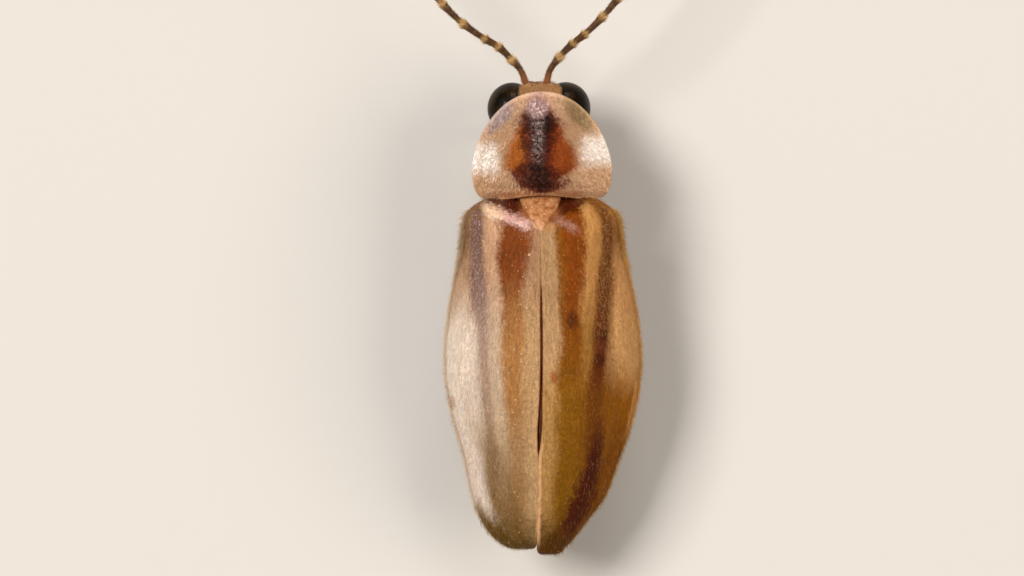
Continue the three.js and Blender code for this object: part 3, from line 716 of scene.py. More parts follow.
def wingColours(shader, place, word):
    # each stripe's front colour fades into its middle one, its rear one and then the tail's; bands
    # of seam, edge and y, made uneven by noise, say where the other colours lie, among them painted
    # shade and painted highlights
    paint = wingPaint[word]
    x, y, z = shader.axes(place)
    x = abs(x)
    wander = shader.noise(shader.stretched(place, (1.0, 0.35, 1.0)), 2.2) - 0.5
    speckle = shader.noise(place, 12.0, 2.0) - 0.5
    band = shader.attribute("band") + wander * 0.6 + speckle * 0.55
    seam = shader.attribute("seam") + speckle * 0.05
    edge = shader.attribute("edge") + speckle * 0.1 + wander * 0.15
    down = y + wander * 1.4 + speckle * 0.4
    # pale purple specks in the dark stripe, painted sheen
    lilac = band.band(3.1, 3.9, 0.2) * shader.noise(place, 15.0, 2.0, 0.7).step(0.5, 0.65)
    layers = [
        (shader.stripes(band, paint["middle"], 0.5), down.step(*paint["toMiddle"])),
        (shader.stripes(band, paint["rear"], 0.6), down.step(*paint["toRear"])),
        ("lilac", lilac * down.step(7.6, 6.2) * 0.6),
        # painted shade on the outer front of the wing case
        ("shoulder", down.step(5.2, 4.1) * band.step(3.7, 4.3) * 0.8),
        ("behind", down.step(9.6, 11.8) * seam.step(0.1, 0.6) * 0.7),
        ("tail", (down + speckle * 0.6 - edge * 0.3).step(11.0, 12.7)),
    ]
    if word == "left":
        rust = squares((y - 8.72, 14.0), (z - 2.95, 12.0), (edge, 8.0)) + speckle
        bead = seam.step(0.16, 0.08) * y.band(8.6, 10.2, 0.4) * 0.7
        bead = bead + seam.step(0.05, 0.0) * y.band(10.4, 12.6, 0.2)
        layers += [
            # painted shade inside the left rear edge
            ("smoke", edge.band(0.62, 1.2, 0.18) * down.band(9.8, 12.0, 0.4) * 0.4),
            # painted highlights along the left hem, in the middle and towards the tail
            ("rim", edge.step(0.46, 0.22) * down.band(6.4, 9.6, 0.4) * 0.75),
            ("rearRim", edge.step(0.62, 0.3) * (down - edge * 0.8).band(9.3, 11.6, 0.5) * 0.9),
            ("rust", rust.step(1.0, 0.0) * 0.5),
        ]
    else:
        rough = shader.noise(place, 5.0, 4.0, 0.7) - 0.5
        # the right tail's dark patch is painted shade
        patch = (shader.attribute("dark") + speckle * 1.2 + rough * 2.2).step(1.45, 0.3)
        blush = squares((x - 0.34, 4.0), (y - 8.0, 1.0)) + speckle * 0.03
        bead = seam.step(0.1, 0.04) * y.step(9.5, 10.3) * y.step(12.9, 12.4)
        layers += [
            ("outer", edge.step(0.6, 0.25) * down.step(8.8, 10.4) * down.step(12.7, 12.3) * 0.7),
            ("patch", patch * (y + rough).step(8.8, 10.2) * (y + rough).step(12.7, 12.1)),
            # a painted highlight along the right hem
            ("rim", edge.step(0.2, 0.08) * y.band(8.1, 9.7, 0.3) * 0.85),
            ("olive", band.band(0.97, 1.28, 0.12) * down.step(6.6, 5.8) * 0.6),
        ]
        for spotX, spotY, size in paint["spots"]:
            far = squares((x - spotX, 2.5), (y - spotY, 1.0)) + speckle * 0.05 + wander * 0.05
            layers.append(("spot", far.step(size * size * 1.6, 0.0) * 0.7))
        layers.append(("blush", blush.step(0.06, 0.0) * 0.7))
    mottled = y + x * 0.4 + speckle * 0.5 + wander * 0.3
    # the painted highlight on the swelling, pink near the seam and cream further out
    sheen = shader.mix(colour(paint["glossHighlight"]), colour(paint["cream"]), x.step(0.9, 1.3))
    broken = shader.noise(place, 14.0, 3.0, 0.7).step(0.3, 0.6)
    # a small painted highlight beside the seam near the root
    spotX, spotY = paint["rootHighlight"]
    rootHighlight = squares((x - spotX, 1.0), (y - spotY, 1.0)) + speckle * 0.03
    layers += [
        ("bead", bead * 0.9),
        # painted shade along the inner edge where the slit between the wing cases opens
        ("slit", seam.step(0.0, -0.03) * y.band(5.4, 10.2, 0.2) * 0.85),
        # painted shade on the shoulder's outer edge
        ("shoulder", mottled.step(4.2, 3.9) * x.step(1.3, 1.7) * 0.7),
        ("scutellum", mottled.step(3.98, 3.7) * x.step(0.85, 0.45)),
        # painted shade where the wing case dips under the pronotum's rear edge
        ("recess", mottled.step(3.82, 3.6) * x.band(0.55, paint["recessShadeEnd"], 0.16) * 0.92),
        # painted highlight on the swelling behind the root
        (sheen, wingGloss(shader, place, word) * (broken * 0.55 + 0.4)),
        ("cream", shader.noise(place, 11.0, 1.0).step(0.7, 0.76) * 0.55),
        # the small painted highlight beside the seam
        ("cream", rootHighlight.step(0.045, 0.0) * 0.8),
    ]
    return shader.painted(shader.stripes(band, paint["front"], 0.36), paint, layers)


def wingCaseMaterial(word):
    shader = Shader(f"wingCase_{word}")
    place = shader.place()
    mottle = shader.noise(place, 8.0, 4.0, 0.65)
    streak = shader.noise(shader.stretched(place, (9.0, 1.6, 9.0)), 1.5)
    tone = shader.shaded(wingColours(shader, place, word), (mottle * 0.55 + streak * 0.45) * 1.4 + 0.18)
    normal = shader.relief((shader.noise(place, 24.0, 2.0), 0.014, 1.0), (mottle, 0.035, 1.0))
    return shader.finish(
        tone, mottle * 0.2 + 0.34, normal, Specular_IOR_Level=0.08, Subsurface_Weight=0.08,
        Subsurface_Radius=(1.0, 0.5, 0.25), Subsurface_Scale=0.2 * mm,
        Coat_Weight=wingGloss(shader, place, word) * 0.4, Coat_Roughness=0.22,
    )


# Pronotum: the shield over the head

pronotum = {
    "halfWidth": 1.91, "middle": -0.06, "widestY": 2.15, "rearY": 2.98, "rearHeight": 4.5, "frontHeight": 3.8,
    "frontY": 0.06, "rimThickness": 0.13, "thickness": 0.43, "centre": (0, 1.75), "rows": 64, "turns": 220,
    "seed": 5, "hairs": 9000, "hair": {"length": 0.13, "lift": 0.4, "width": 0.01, "spread": 0.45},
}


def pronotumOutline(turn):
    # half an ellipse in front, drawn in a little at its corners, and behind it a squarish curve with
    # a hollow in the middle; turn is 0 to 1 around, by arc length
    swing = np.linspace(-np.pi / 2, np.pi / 2, 700)
    x = pronotum["halfWidth"] * np.sin(swing) * (1 - 0.052 * np.abs(np.sin(2 * swing)))
    front = blend(pronotum["widestY"], pronotum["frontY"], np.cos(swing))
    across = np.abs(x / pronotum["halfWidth"])
    depth = pronotum["rearY"] - pronotum["widestY"]
    rear = pronotum["widestY"] + depth * np.sqrt(np.clip(1 - across ** 14, 0, 1))
    rear = rear - 0.12 * (1 - ease(np.abs(x), 0, 1.3))
    x = x + pronotum["middle"]
    loop = np.concatenate([np.stack([x, front], -1), np.stack([x, rear], -1)[::-1]])
    reach = distances(loop)
    return pointsAt(turn * reach[-1], reach, loop)


def pronotumTop(x, y, rimShare):
    # a ridge that falls away to both sides, with a middle hump, a pair of hollows and a raised rim
    fromRear = (pronotum["rearY"] - y) / pronotum["rearY"]
    z = pronotum["rearHeight"] - (pronotum["rearHeight"] - pronotum["frontHeight"]) * fromRear ** 2
    z = z - 0.5 * ease(np.abs(x), 0.3, 1.35) - 0.22 * (x / pronotum["halfWidth"]) ** 2
    z = z + 0.05 * bump(x, 0, 0.4) * ease(y, 0.4, 1.4) - 0.03 * bump(x, 0, 0.06) * ease(y, 1.0, 2.0)
    z = z - 0.07 * bump(np.abs(x), 0.85, 0.28) * bump(y, 2.25, 0.4)
    z = z - 0.06 * ease(y, 2.55, 2.75) * ease(np.abs(x), 1.9, 1.2)
    z = z + 0.012 * np.sin(x * 6.3 + 1.0) * np.sin(y * 5.2) * (1 - rimShare)
    z = z - 0.13 * ease(y, 2.76, 3.02)
    return z + 0.05 * ease(rimShare, 0.86, 0.98) * (1 - ease(y, 2.3, 2.8))


def makePronotum(material, hairFinish):
    # rings grow from a centre to the outline, turn round the rim and come back underneath
    centre = np.array(pronotum["centre"])
    edge = pronotumOutline(np.linspace(0, 1, pronotum["turns"], endpoint=False))
    share = np.sin(np.linspace(0.01, 1, pronotum["rows"]) * np.pi / 2)[:, None]
    x, y = (centre + share[..., None] * (edge - centre)).transpose(2, 0, 1)
    top = joined(x, y, pronotumTop(x, y, share))
    thickness = pronotum["rimThickness"]
    angle = np.linspace(0, np.pi, 7)[1:-1, None]
    outX, outY = unit(edge - centre).T * thickness / 2
    rim = top[-1] + joined(np.sin(angle) * outX, np.sin(angle) * outY, (np.cos(angle) - 1) * thickness / 2)
    thicker = (pronotum["thickness"] - thickness) * ease(share, 1.0, 0.72)
    below = (top - (thickness + thicker)[..., None] * [0, 0, 1])[::-2]
    rings = np.concatenate([top, rim, below])
    makeShape("pronotumShield", rings, material, "pronotum_shell", ["pronotum"], pronotumMarks)

    draw = np.random.default_rng(pronotum["seed"])
    spots = scatter(top, pronotum["hairs"], draw, top.mean(1) - [0, 0, 4])
    x, y, _ = spots["place"].T
    # pale hairs along the middle line and on the crown give a painted gleam
    gleam = bump(x, 0.05, 0.15) * ease(y, 0.3, 0.6) * ease(y, 2.2, 1.7)
    gleam = gleam + bump(x, 0.05, 0.25) * bump(y, 0.5, 0.2)
    coat = Coat(draw)
    pale = 0.015 + 0.5 * gleam * (draw.random(len(x)) > 0.6)
    coat.grow(spots, joined(x * 0.4, 1, 0), pale=pale, **pronotum["hair"])
    coat.build("pronotumHair", hairFinish, "pronotum_shell", pronotumMarks)


# the side sheen, the crown, the middle line and the glints are painted highlights
pronotumPaint = {
    "front": "c8a486", "plate": "c09a78", "sheen": "ece4dc", "windowLeft": "a8989a", "windowRight": "8a7450",
    "crown": "a88280", "glint": "f2e2e0", "patchLeft": "b0621a", "patchRight": "9a4600", "coreEdge": "601c07",
    "core": "1e0804", "midlineGleam": "7c6460", "rust": "8a4830", "rear": "b07448",
}
# how far the dark core and the orange patches reach from the middle line, going back
coreReach = {
    1: curve(
        (0.15, -0.2), (0.35, 0.14), (0.61, 0.38), (0.91, 0.5), (1.25, 0.41), (1.59, 0.4), (1.94, 0.37),
        (2.14, 0.66), (2.35, 0.7), (2.55, 0.62), (2.72, 0.5), (2.8, 0.25), (2.88, -0.3)),
    -1: curve(
        (0.15, -0.2), (0.35, 0.1), (0.61, 0.34), (0.91, 0.5), (1.25, 0.44), (1.59, 0.36), (1.94, 0.35),
        (2.14, 0.44), (2.35, 0.58), (2.55, 0.66), (2.72, 0.58), (2.8, 0.3), (2.88, -0.3)),
}
patchReach = {
    1: curve(
        (0.75, -0.2), (0.95, 0.52), (1.25, 0.68), (1.59, 0.86), (1.94, 0.94), (2.14, 0.9), (2.35, 0.5),
        (2.55, -0.2)),
    -1: curve(
        (0.75, -0.2), (0.95, 0.54), (1.25, 0.68), (1.59, 0.9), (1.94, 1.02), (2.15, 0.98), (2.4, 0.55),
        (2.6, -0.2)),
}


def pronotumMarks(points):
    # how deep a point lies inside the core and inside the patches
    x, y, _ = points.T
    reaches = {"core": coreReach, "patch": patchReach}
    return {word: np.where(x > 0, reach[1](y), reach[-1](y)) - np.abs(x) for word, reach in reaches.items()}


def pronotumColours(shader, place):
    # pale margins with the eyes' shade behind them and painted sheen on both sides, orange patches,
    # and a dark core with a grey middle line and a light crown, both painted gleam
    paint = pronotumPaint
    x, y, _ = shader.axes(place)
    ragged = (shader.noise(place, 2.8, 5.0, 0.65) - 0.5) * 0.45
    ragged = ragged + (shader.noise(place, 11.0, 3.0, 0.7) - 0.5) * 0.4
    fleck = shader.noise(place, 13.0, 2.0, 0.7)
    side = abs(x)
    toLeft = x.step(-0.2, 0.2)
    # painted highlights on both sides
    sheen = (side + ragged * 0.8).step(0.95, 1.4) * (y - toLeft * 0.2 + ragged * 0.4).band(1.25, 2.05, 0.25)
    window = (side + ragged * 0.2).band(0.78, 1.46, 0.22) * (y * 1.15 - side * 0.9).band(-0.55, 0.12, 0.2)
    rear = (y + ragged * 0.3 - side * side * 0.03).step(2.68, 2.84) * side.step(1.5, 0.9)
    patch = shader.attribute("patch") + ragged * 0.7
    core = shader.attribute("core") + ragged * (y.step(1.9, 2.3) * 0.9 + 1.3)
    line = x - 0.05 + ragged * 0.3
    # grey specks with white glints along the middle line are painted gleam
    midlineGleam = line.band(-0.17, 0.17, 0.1) * y.band(0.6, 1.95, 0.2)
    # the crown's light speckled patch is painted gleam
    crown = squares((x - 0.05, 7.0), (y - 0.47, 9.0)) + ragged * 1.9
    windowTone, orange = (
        shader.mix(colour(paint[f"{word}Right"]), colour(paint[f"{word}Left"]), toLeft)
        for word in ("window", "patch"))
    return shader.painted(colour(paint["front"]), paint, [
        ("plate", (side + y * 0.4).step(0.4, 1.4)),
        ("sheen", sheen * (fleck * 0.8 + 0.46)),
        (windowTone, window * 0.8),
        ("rear", rear * 0.65),
        (orange, patch.step(-0.18, 0.14) * 0.95),
        ("coreEdge", core.step(-0.28, 0.1) * 0.92),
        ("core", (core + y.step(2.1, 1.7) * 0.16).step(0.0, 0.5) * 0.97),
        ("rust", core.step(-0.2, 0.05) * fleck.step(0.5, 0.66) * y.step(1.95, 2.3) * 0.35),
        ("midlineGleam", midlineGleam * fleck.step(0.4, 0.62) * 0.85),
        ("glint", midlineGleam * fleck.step(0.52, 0.72) * 0.3),
        # a painted pinkish haze from the crown to the front edge
        ("crown", line.band(-0.2, 0.2, 0.2) * y.step(0.7, 0.4) * 0.6),
        ("crown", crown.step(1.3, 0.1) * 0.75),
        ("glint", crown.step(1.0, -0.1) * fleck.step(0.46, 0.64) * 0.75),
    ])


def pronotumMaterial():
    shader = Shader("pronotumShield")
    place = shader.place()
    x, y, _ = shader.axes(place)
    mottle = shader.noise(place, 12.0, 4.0, 0.65)
    tone = shader.shaded(pronotumColours(shader, place), mottle + 0.5)
    outside = abs(x).step(0.8, 1.4) * y.step(0.9, 1.3)
    lumps = shader.noise(place, 5.5, 2.0) * outside * y.step(0.9, 1.4)
    normal = shader.relief((lumps, 0.09, 1.0), (shader.cells(place, 12.0), 0.022, 0.8), (mottle, 0.02, 1.0))
    return shader.finish(
        tone, mottle * 0.2 + 0.3, normal, Specular_IOR_Level=0.08, Subsurface_Weight=0.15,
        Subsurface_Radius=(1.0, 0.6, 0.35), Subsurface_Scale=0.25 * mm, Coat_Weight=outside * 0.35,
        Coat_Roughness=0.18,
    )


# Scutellum

scutellum = {
    "start": 2.92, "end": 3.95, "halfWidth": 0.56, "pointHalfWidth": 0.012, "startHeight": 4.2,
    "endHeight": 4.6, "thickness": 0.1, "rows": 40, "places": 30,
}
# point is a painted highlight towards the tip
scutellumPaint = {"hollow": "8a502a", "plate": "b07c50", "point": "d0a078", "fleck": "dcb48c"}


def makeScutellum(material):
    # a rounded triangle, v from its base to its point
    v, u = grid(scutellum["rows"], scutellum["places"])
    u = 2 * u - 1
    y = blend(scutellum["start"], scutellum["end"], v)
    x = (scutellum["halfWidth"] * (1 - v ** 1.5) ** 0.85 + scutellum["pointHalfWidth"]) * u
    z = blend(scutellum["startHeight"], scutellum["endHeight"], np.sin(v * np.pi / 2))
    z = z - 0.2 * x * x - 0.13 * u ** 4
    z = z + 0.012 * np.sin(x * 9 + 2 * np.sin(y * 6)) * np.sin(v * np.pi)
    rings = shellRings(joined(x, y, z), scutellum["thickness"])
    makeShape("scutellumPlate", rings, material, "wing_case", ["scutellum"])


def scutellumColours(shader, place):
    _, y, _ = shader.axes(place)
    mottle = shader.noise(place, 6.0, 4.0, 0.65)
    return shader.painted(colour(scutellumPaint["hollow"]), scutellumPaint, [
        ("plate", mottle.step(0.35, 0.65)),
        # painted highlight towards the point
        ("point", (y + mottle * 0.4).step(3.75, 4.05) * 0.7),
        ("fleck", shader.noise(place, 10.0, 2.0, 0.7).step(0.6, 0.7) * 0.6),
    ])


# Body skin: head, thorax and abdomen in one mesh

trunk = {
    "from": 1.25, "to": 12.38, "rows": 460, "turns": 110, "seed": 21,
    "rings": [3.08, 4.62, 6.88, 7.95, 8.85, 9.82, 10.6, 11.42, 12.0],   # rear edge of each body ring
    "hairs": 18500, "hair": {"length": 0.19, "lift": 0.5, "width": 0.014, "pale": 0.7, "spread": 0.4},
    "replaced": ["head", "prothorax", "mesothorax", "metathorax", "abdomen", "lantern", "abdomen_tip"],
}
trunkHalfWidth = curve(
    (1.25, 0.4), (1.45, 0.46), (1.7, 0.84), (2.2, 1.02), (2.95, 1.08), (3.2, 1.05), (3.9, 1.34), (4.5, 1.4),
    (5.8, 1.56), (6.7, 1.54), (7.2, 1.54), (8.5, 1.7), (10.0, 1.48), (11.2, 1.06), (12.0, 0.62), (12.38, 0.3),
)
trunkTop = curve(
    (1.25, 3.28), (1.5, 3.5), (1.75, 3.68), (2.2, 3.86), (2.9, 3.92), (3.3, 3.6), (3.7, 3.45), (4.5, 3.52),
    (5.5, 3.38), (7.0, 3.42), (8.5, 3.2), (10.0, 2.85), (11.2, 2.5), (12.38, 2.6),
)
trunkBottom = curve(
    (1.25, 2.3), (1.6, 2.2), (2.2, 1.9), (3.0, 1.83), (3.8, 1.68), (4.5, 1.63), (6.0, 1.62), (6.9, 1.75),
    (7.2, 1.9), (8.5, 1.87), (10.5, 1.83), (12.38, 2.02),
)
# sutures across the thorax: each lies where y + slant * rise = at, between two values of rise,
# which is 1 on the back and -1 below; and along it: each lies where rise = at + slant * (y - from)
crossSutures = [
    (2.05, 0.35, -0.9, 0.3), (3.95, 0.55, -1.1, 0.6), (4.62, 0.7, -0.75, 0.45), (5.5, -0.25, -0.8, 0.3),
    (6.1, 0.9, -1.1, 0.05),
]
longSutures = [(0.3, -0.1, 1.55, 2.95), (0.34, -0.16, 4.75, 6.8), (-0.42, 0.03, 4.3, 6.6)]


def trunkRing(y):
    # which body ring a place lies in, and how far along it, 0 to 1
    edges = np.array([trunk["from"], *trunk["rings"], trunk["to"] + 0.3])
    ring = np.clip(np.searchsorted(edges, y, side="right") - 1, 0, len(edges) - 2)
    return ring, (y - edges[ring]) / (edges[ring + 1] - edges[ring])


def trunkSutures(y, rise, width):
    across = sum(
        bump(y + slant * rise, at, width) * ease(rise, low, low + 0.08) * ease(rise, high, high - 0.08)
        for at, slant, low, high in crossSutures)
    along = sum(
        bump(rise, at + slant * (y - start), width) * ease(y, start, start + 0.15) * ease(y, end, end - 0.15)
        for at, slant, start, end in longSutures)
    return across + along


def squared(value, power):
    # a sine or cosine bent so that a ring of them is squarer
    return np.sign(value) * np.abs(value) ** power


def trunkSurface(v, turn):
    # rings squared a little at the sides; each body ring swells to its rear edge and steps in, the
    # thorax has sutures, and the abdomen a fold along each side with flared ring corners; the
    # second result is how deep a point lies in these grooves, 0 to 1
    y = blend(trunk["from"], trunk["to"], v)
    ring, t = trunkRing(y)
    swell = 0.95 + 0.05 * np.clip(t / 0.85, 0, 1) ** 0.6 - 0.04 * ease(t, 0.93, 1.0)
    swell = np.where(ring == 0, 1.0, swell)
    side, rise = np.sin(turn * 2 * np.pi), np.cos(turn * 2 * np.pi)
    middle = blend(trunkBottom(y), trunkTop(y), 0.58)
    reach = np.where(rise > 0, trunkTop(y) - middle, middle - trunkBottom(y))
    size = swell * np.sqrt(np.clip(1 - ease(y, 12.1, 12.4) ** 2, 0.01, 1))
    abdomen = ease(y, 6.95, 7.3) * ease(y, 12.2, 11.8)
    fold = bump(rise, -0.02, 0.07) * abdomen
    nick = bump(np.minimum(t, 1 - t), 0, 0.03) * (ring > 0)
    cut = ease(np.abs(side), 0.15, 0.35)
    groove = np.clip(fold + trunkSutures(y, rise, 0.05), 0, 1) * cut
    hollow = np.clip(trunkSutures(y, rise, 0.16), 0, 1) * cut
    flare = 0.05 * bump(rise, 0.16, 0.1) * t ** 2 * abdomen
    out = 1 - 0.04 * groove - 0.045 * hollow + 0.02 * ease(y, 1.6, 2.0) * ease(y, 6.9, 6.7) + flare
    x = trunkHalfWidth(y) * size * out * squared(side, 0.92)
    z = middle + reach * size * (1 - 0.03 * groove) * squared(rise, 0.92)
    keel = bump(x, 0, 0.09) * (rise < 0) * ease(y, 4.9, 5.3) * ease(y, 6.7, 6.4)
    return joined(x, y, z + 0.04 * keel), np.clip(groove + 0.5 * hollow + 0.7 * nick, 0, 1)


def trunkMarks(points):
    # how near a point of the abdomen lies to the rear edge of its ring
    y = points[:, 1]
    return {"ringEdge": ease(trunkRing(y)[1], 0.72, 0.94) * ease(y, 6.9, 7.1)}


eyePlan = {
    "centre": (0.76, 0.42, 2.33), "radii": (0.7, 0.74, 0.7), "rows": 90, "turns": 120,
    "colours": ("0c0601", "2a1a04"),
}
headPlan = {
    "from": -0.3, "to": 1.35, "middle": (-0.04, 0.42, 2.55), "rows": 130, "turns": 150,
    "socket": [(0.27, 0.05, 2.76), (0.34, -0.3, 2.84)], "socketRadii": [(0, 0.17), (0.8, 0.17), (1, 0.15)],
    "hairs": 4500, "hair": {"length": 0.11, "lift": 0.6, "width": 0.009, "pale": 0.4}, "hairTo": 1.15,
    # the clypeus and under it the upper lip: path, half-widths, flatness and tint
    "plates": [
        ([(-0.02, -0.08, 2.3), (-0.02, -0.21, 2.12), (-0.02, -0.27, 1.98)],
         [(0, 0.3), (0.5, 0.34), (0.9, 0.31), (1, 0.27)], 0.34, 0.1),
        ([(-0.02, -0.2, 2.02), (-0.02, -0.3, 1.9), (-0.02, -0.3, 1.76)],
         [(0, 0.22), (0.4, 0.25), (0.8, 0.22), (0.95, 0.15), (1, 0.06)], 0.24, 0.45),
    ],
}
headHalfWidth = curve((-0.3, 0.46), (-0.2, 0.55), (0.0, 0.62), (0.42, 0.66), (0.9, 0.6), (1.35, 0.42))
headTop = curve((-0.3, 2.84), (-0.2, 3.02), (0.0, 3.16), (0.42, 3.28), (0.9, 3.24), (1.35, 3.16))
headBottom = curve((-0.3, 2.29), (-0.2, 2.06), (0.0, 1.89), (0.42, 1.82), (0.9, 1.92), (1.35, 2.27))


def headSurface(v, turn):
    # a capsule carried along y, with a hollow between the feelers and a raised rim round each eye;
    # the second result is how deep a point lies in the seam at the eye, 0 to 1
    y = blend(headPlan["from"], headPlan["to"], (1 - np.cos(np.pi * v)) / 2)
    side, rise = np.sin(turn * 2 * np.pi), np.cos(turn * 2 * np.pi)
    middle = (headBottom(y) + headTop(y)) / 2
    closing = np.sqrt(np.clip(1 - ease(y, 0.02, -0.32) ** 4, 0.03, 1))
    x = headHalfWidth(y) * closing * squared(side, 0.7) + headPlan["middle"][0]
    z = middle + (headTop(y) - headBottom(y)) / 2 * closing * squared(rise, 0.7)
    z = z - 0.06 * bump(x, 0, 0.16) * (rise > 0) * bump(y, -0.1, 0.25)
    point = joined(x, y, z)
    far = np.linalg.norm((joined(np.abs(x), y, z) - eyePlan["centre"]) / eyePlan["radii"], axis=-1)
    point = point + unit(point - headPlan["middle"]) * 0.04 * bump(far, 1.1, 0.06)[..., None]
    return point, bump(far, 1.0, 0.04)


def makeSkin(material):
    form = Form()
    body = form.add(*trunkSurface(*grid(trunk["rows"], trunk["turns"], True)))
    head = form.add(*headSurface(*grid(headPlan["rows"], headPlan["turns"], True)))
    for points, radii, flat, tint in headPlan["plates"]:
        form.add(limb(points, radii, turns=32, flat=flat, up=(0, 1, 0), roundEnds=False), tint)
    for side in sides.values():
        form.add(limb(mirrored(headPlan["socket"], side), headPlan["socketRadii"], turns=24, rows=20))
    form.build("bodySkin", material, "underside", trunk["replaced"], trunkMarks)
    return body, head


def makeBodyHair(body, head, hairFinish):
    draw = np.random.default_rng(trunk["seed"])
    spots = scatter(
        body, trunk["hairs"], draw, body.mean(1),
        weight=lambda place: 0.03 + ease(place[..., 1], 1.4, 1.8) * ease(place[..., 2], 3.7, 3.2))
    coat = Coat(draw)
    coat.grow(spots, spots["along"], **trunk["hair"])
    coat.build("bodyHair", hairFinish, "underside", trunkMarks)
    spots = scatter(
        head, headPlan["hairs"], draw, head.mean(1), weight=lambda place: place[..., 1] < headPlan["hairTo"])
    coat = Coat(draw)
    coat.grow(spots, np.array([0, -0.6, 0.2]) + 0 * spots["normal"], **headPlan["hair"])
    coat.build("headHair", hairFinish, "head_skin", trunkMarks)


skinPaint = {
    "head": "966b42", "face": "7c4a26", "neck": "8a5a33", "thorax": "6b4122", "pale": "a4784e",
    "abdomen": "3c2413", "ringEdge": "8a6238", "shade": "241309", "groove": "1e1008", "light": "e6dcae",
    "lightShade": "cfc090", "lightEdge": "f0ead0",
}


def skinColours(shader, place):
    # peach head, brown thorax, dark abdomen rings with pale edges, and a cream light organ that
    # ends at the fold along each side
    x, y, z = shader.axes(place)
    mottle = shader.noise(place, 3.5, 4.0)
    wander = y + (mottle - 0.5) * 0.16 - x * x * 0.06
    uneven = wander + (mottle - 0.5) * 0.3
    lantern = uneven.step(9.62, 9.95) * uneven.step(11.5, 11.2) * (z + (mottle - 0.5) * 0.3).step(2.44, 2.2)
    edge = shader.attribute("ringEdge")
    light = shader.painted(colour(skinPaint["light"]), skinPaint, [
        ("lightShade", mottle.step(0.4, 0.7)),
        ("lightEdge", edge * 0.6),
    ])
    return shader.painted(colour(skinPaint["head"]), skinPaint, [
        ("face", z.step(3.0, 2.3) * y.step(0.3, -0.1) * 0.8),
        ("neck", wander.step(0.9, 1.6)),
        ("thorax", wander.step(3.0, 4.6)),
        ("pale", shader.noise(place, 1.4, 3.0).step(0.5, 0.7) * wander.step(1.2, 1.8) * 0.4),
        ("abdomen", wander.step(6.8, 7.1)),
        ("ringEdge", edge * 0.55),
        (light, lantern),
        ("shade", mottle.step(0.55, 0.75) * (1 - lantern) * 0.4),
        ("groove", shader.attribute("tint") * (1 - lantern * 0.6) * 0.75),
    ])


def skinMaterial():
    shader = Shader("bodySkin")
    place = shader.place()
    grain = shader.noise(place, 22.0, 3.0)
    wrinkles = shader.noise(shader.stretched(place, (1.0, 2.4, 1.0)), 4.5, 3.0)
    normal = shader.relief(
        (shader.noise(place, 2.2, 2.0), 0.16, 1.0), (wrinkles, 0.06, 1.0),
        (shader.cells(place, 13.0), 0.02, 0.8), (grain, 0.02, 1.0))
    return shader.finish(
        skinColours(shader, place), grain * 0.25 + 0.35, normal, Specular_IOR_Level=0.3,
        Subsurface_Weight=0.15, Subsurface_Radius=(1.0, 0.5, 0.3), Subsurface_Scale=0.2 * mm,
    )


# Jaws, and the palps behind them

mouth = {
    "jaw": [(0.3, 0.0, 2.0), (0.34, -0.16, 1.84), (0.26, -0.3, 1.66), (0.04, -0.33, 1.56)],
    "jawRadii": [(0, 0.13), (0.4, 0.11), (0.8, 0.06), (1, 0.015)],
    "palp": [(0.2, 0.12, 1.9), (0.34, -0.02, 1.74), (0.4, -0.14, 1.58), (0.34, -0.24, 1.4)],
    "palpRadii": (0.055, 0.06, 0.085),
    "colours": ("2a1208", "6b3414"),
}


def makeJaws(material):
    form = Form()
    for side in sides.values():
        form.add(limb(mirrored(mouth["jaw"], side), mouth["jawRadii"], rows=30))
        for start, end, wide in zip(mouth["palp"], mouth["palp"][1:], mouth["palpRadii"]):
            radii = [(0, wide * 0.7), (0.6, wide), (1, wide * 0.75)]
            form.add(limb(mirrored([start, end], side), radii, turns=14, rows=18))
    form.build("mandibles", material, "head_skin")


# Eyes

def makeEye(word, material):
    # an ellipsoid with its poles along x
    polar = np.linspace(0.03, np.pi - 0.03, eyePlan["rows"])[:, None]
    angle = np.linspace(0, 2 * np.pi, eyePlan["turns"], endpoint=False)
    dome = joined(np.cos(polar), np.sin(polar) * np.cos(angle), np.sin(polar) * np.sin(angle))
    rings = mirrored(eyePlan["centre"], sides[word]) + dome * eyePlan["radii"]
    makeShape(f"eyeDome_{word}", rings, material, "eye", [f"eye_{word}"])


def eyeMaterial():
    shader = Shader("eyeDome")
    place = shader.place()
    cell = shader.cells(place, 30.0)
    return shader.finish(
        twoTones(shader, place, eyePlan["colours"], 2.0), cell * 0.2 + 0.16,
        shader.relief((cell * -1.0, 0.008, 1.0)), Specular_IOR_Level=0.05, Coat_Weight=0.1,
        Coat_Roughness=0.1,
    )


# Feelers

feeler = {
    "neck": 0.062, "apex": 0.092, "flat": 0.8, "turns": 20, "rows": 30, "hairs": 820, "hairWidth": 0.0085,
    "farJoints": [0.74, 0.72, 0.7, 0.68, 0.66, 0.74],      # lengths of the last six joints
    "seed": 31, "tiles": 4,
}
feelerRoutes = {
    # the socket and a bend, the end of each of the first five joints, then the sweep of the rest
    "left": [
        (0.37, -0.26, 2.84), (0.5, -0.62, 2.98), (0.8, -0.97, 3.13), (1.14, -1.3, 3.22), (1.52, -1.52, 3.29),
        (2.17, -1.99, 3.35), (2.72, -2.54, 3.37), (4.0, -4.05, 3.28), (5.2, -5.75, 2.98),
    ],
    "right": [
        (-0.22, -0.26, 2.84), (-0.32, -0.64, 2.98), (-0.64, -1.05, 3.13), (-0.97, -1.37, 3.22),
        (-1.31, -1.63, 3.29), (-1.84, -2.14, 3.35), (-2.28, -2.66, 3.37), (-3.6, -4.2, 3.28),
        (-5.2, -5.75, 2.98),
    ],
}


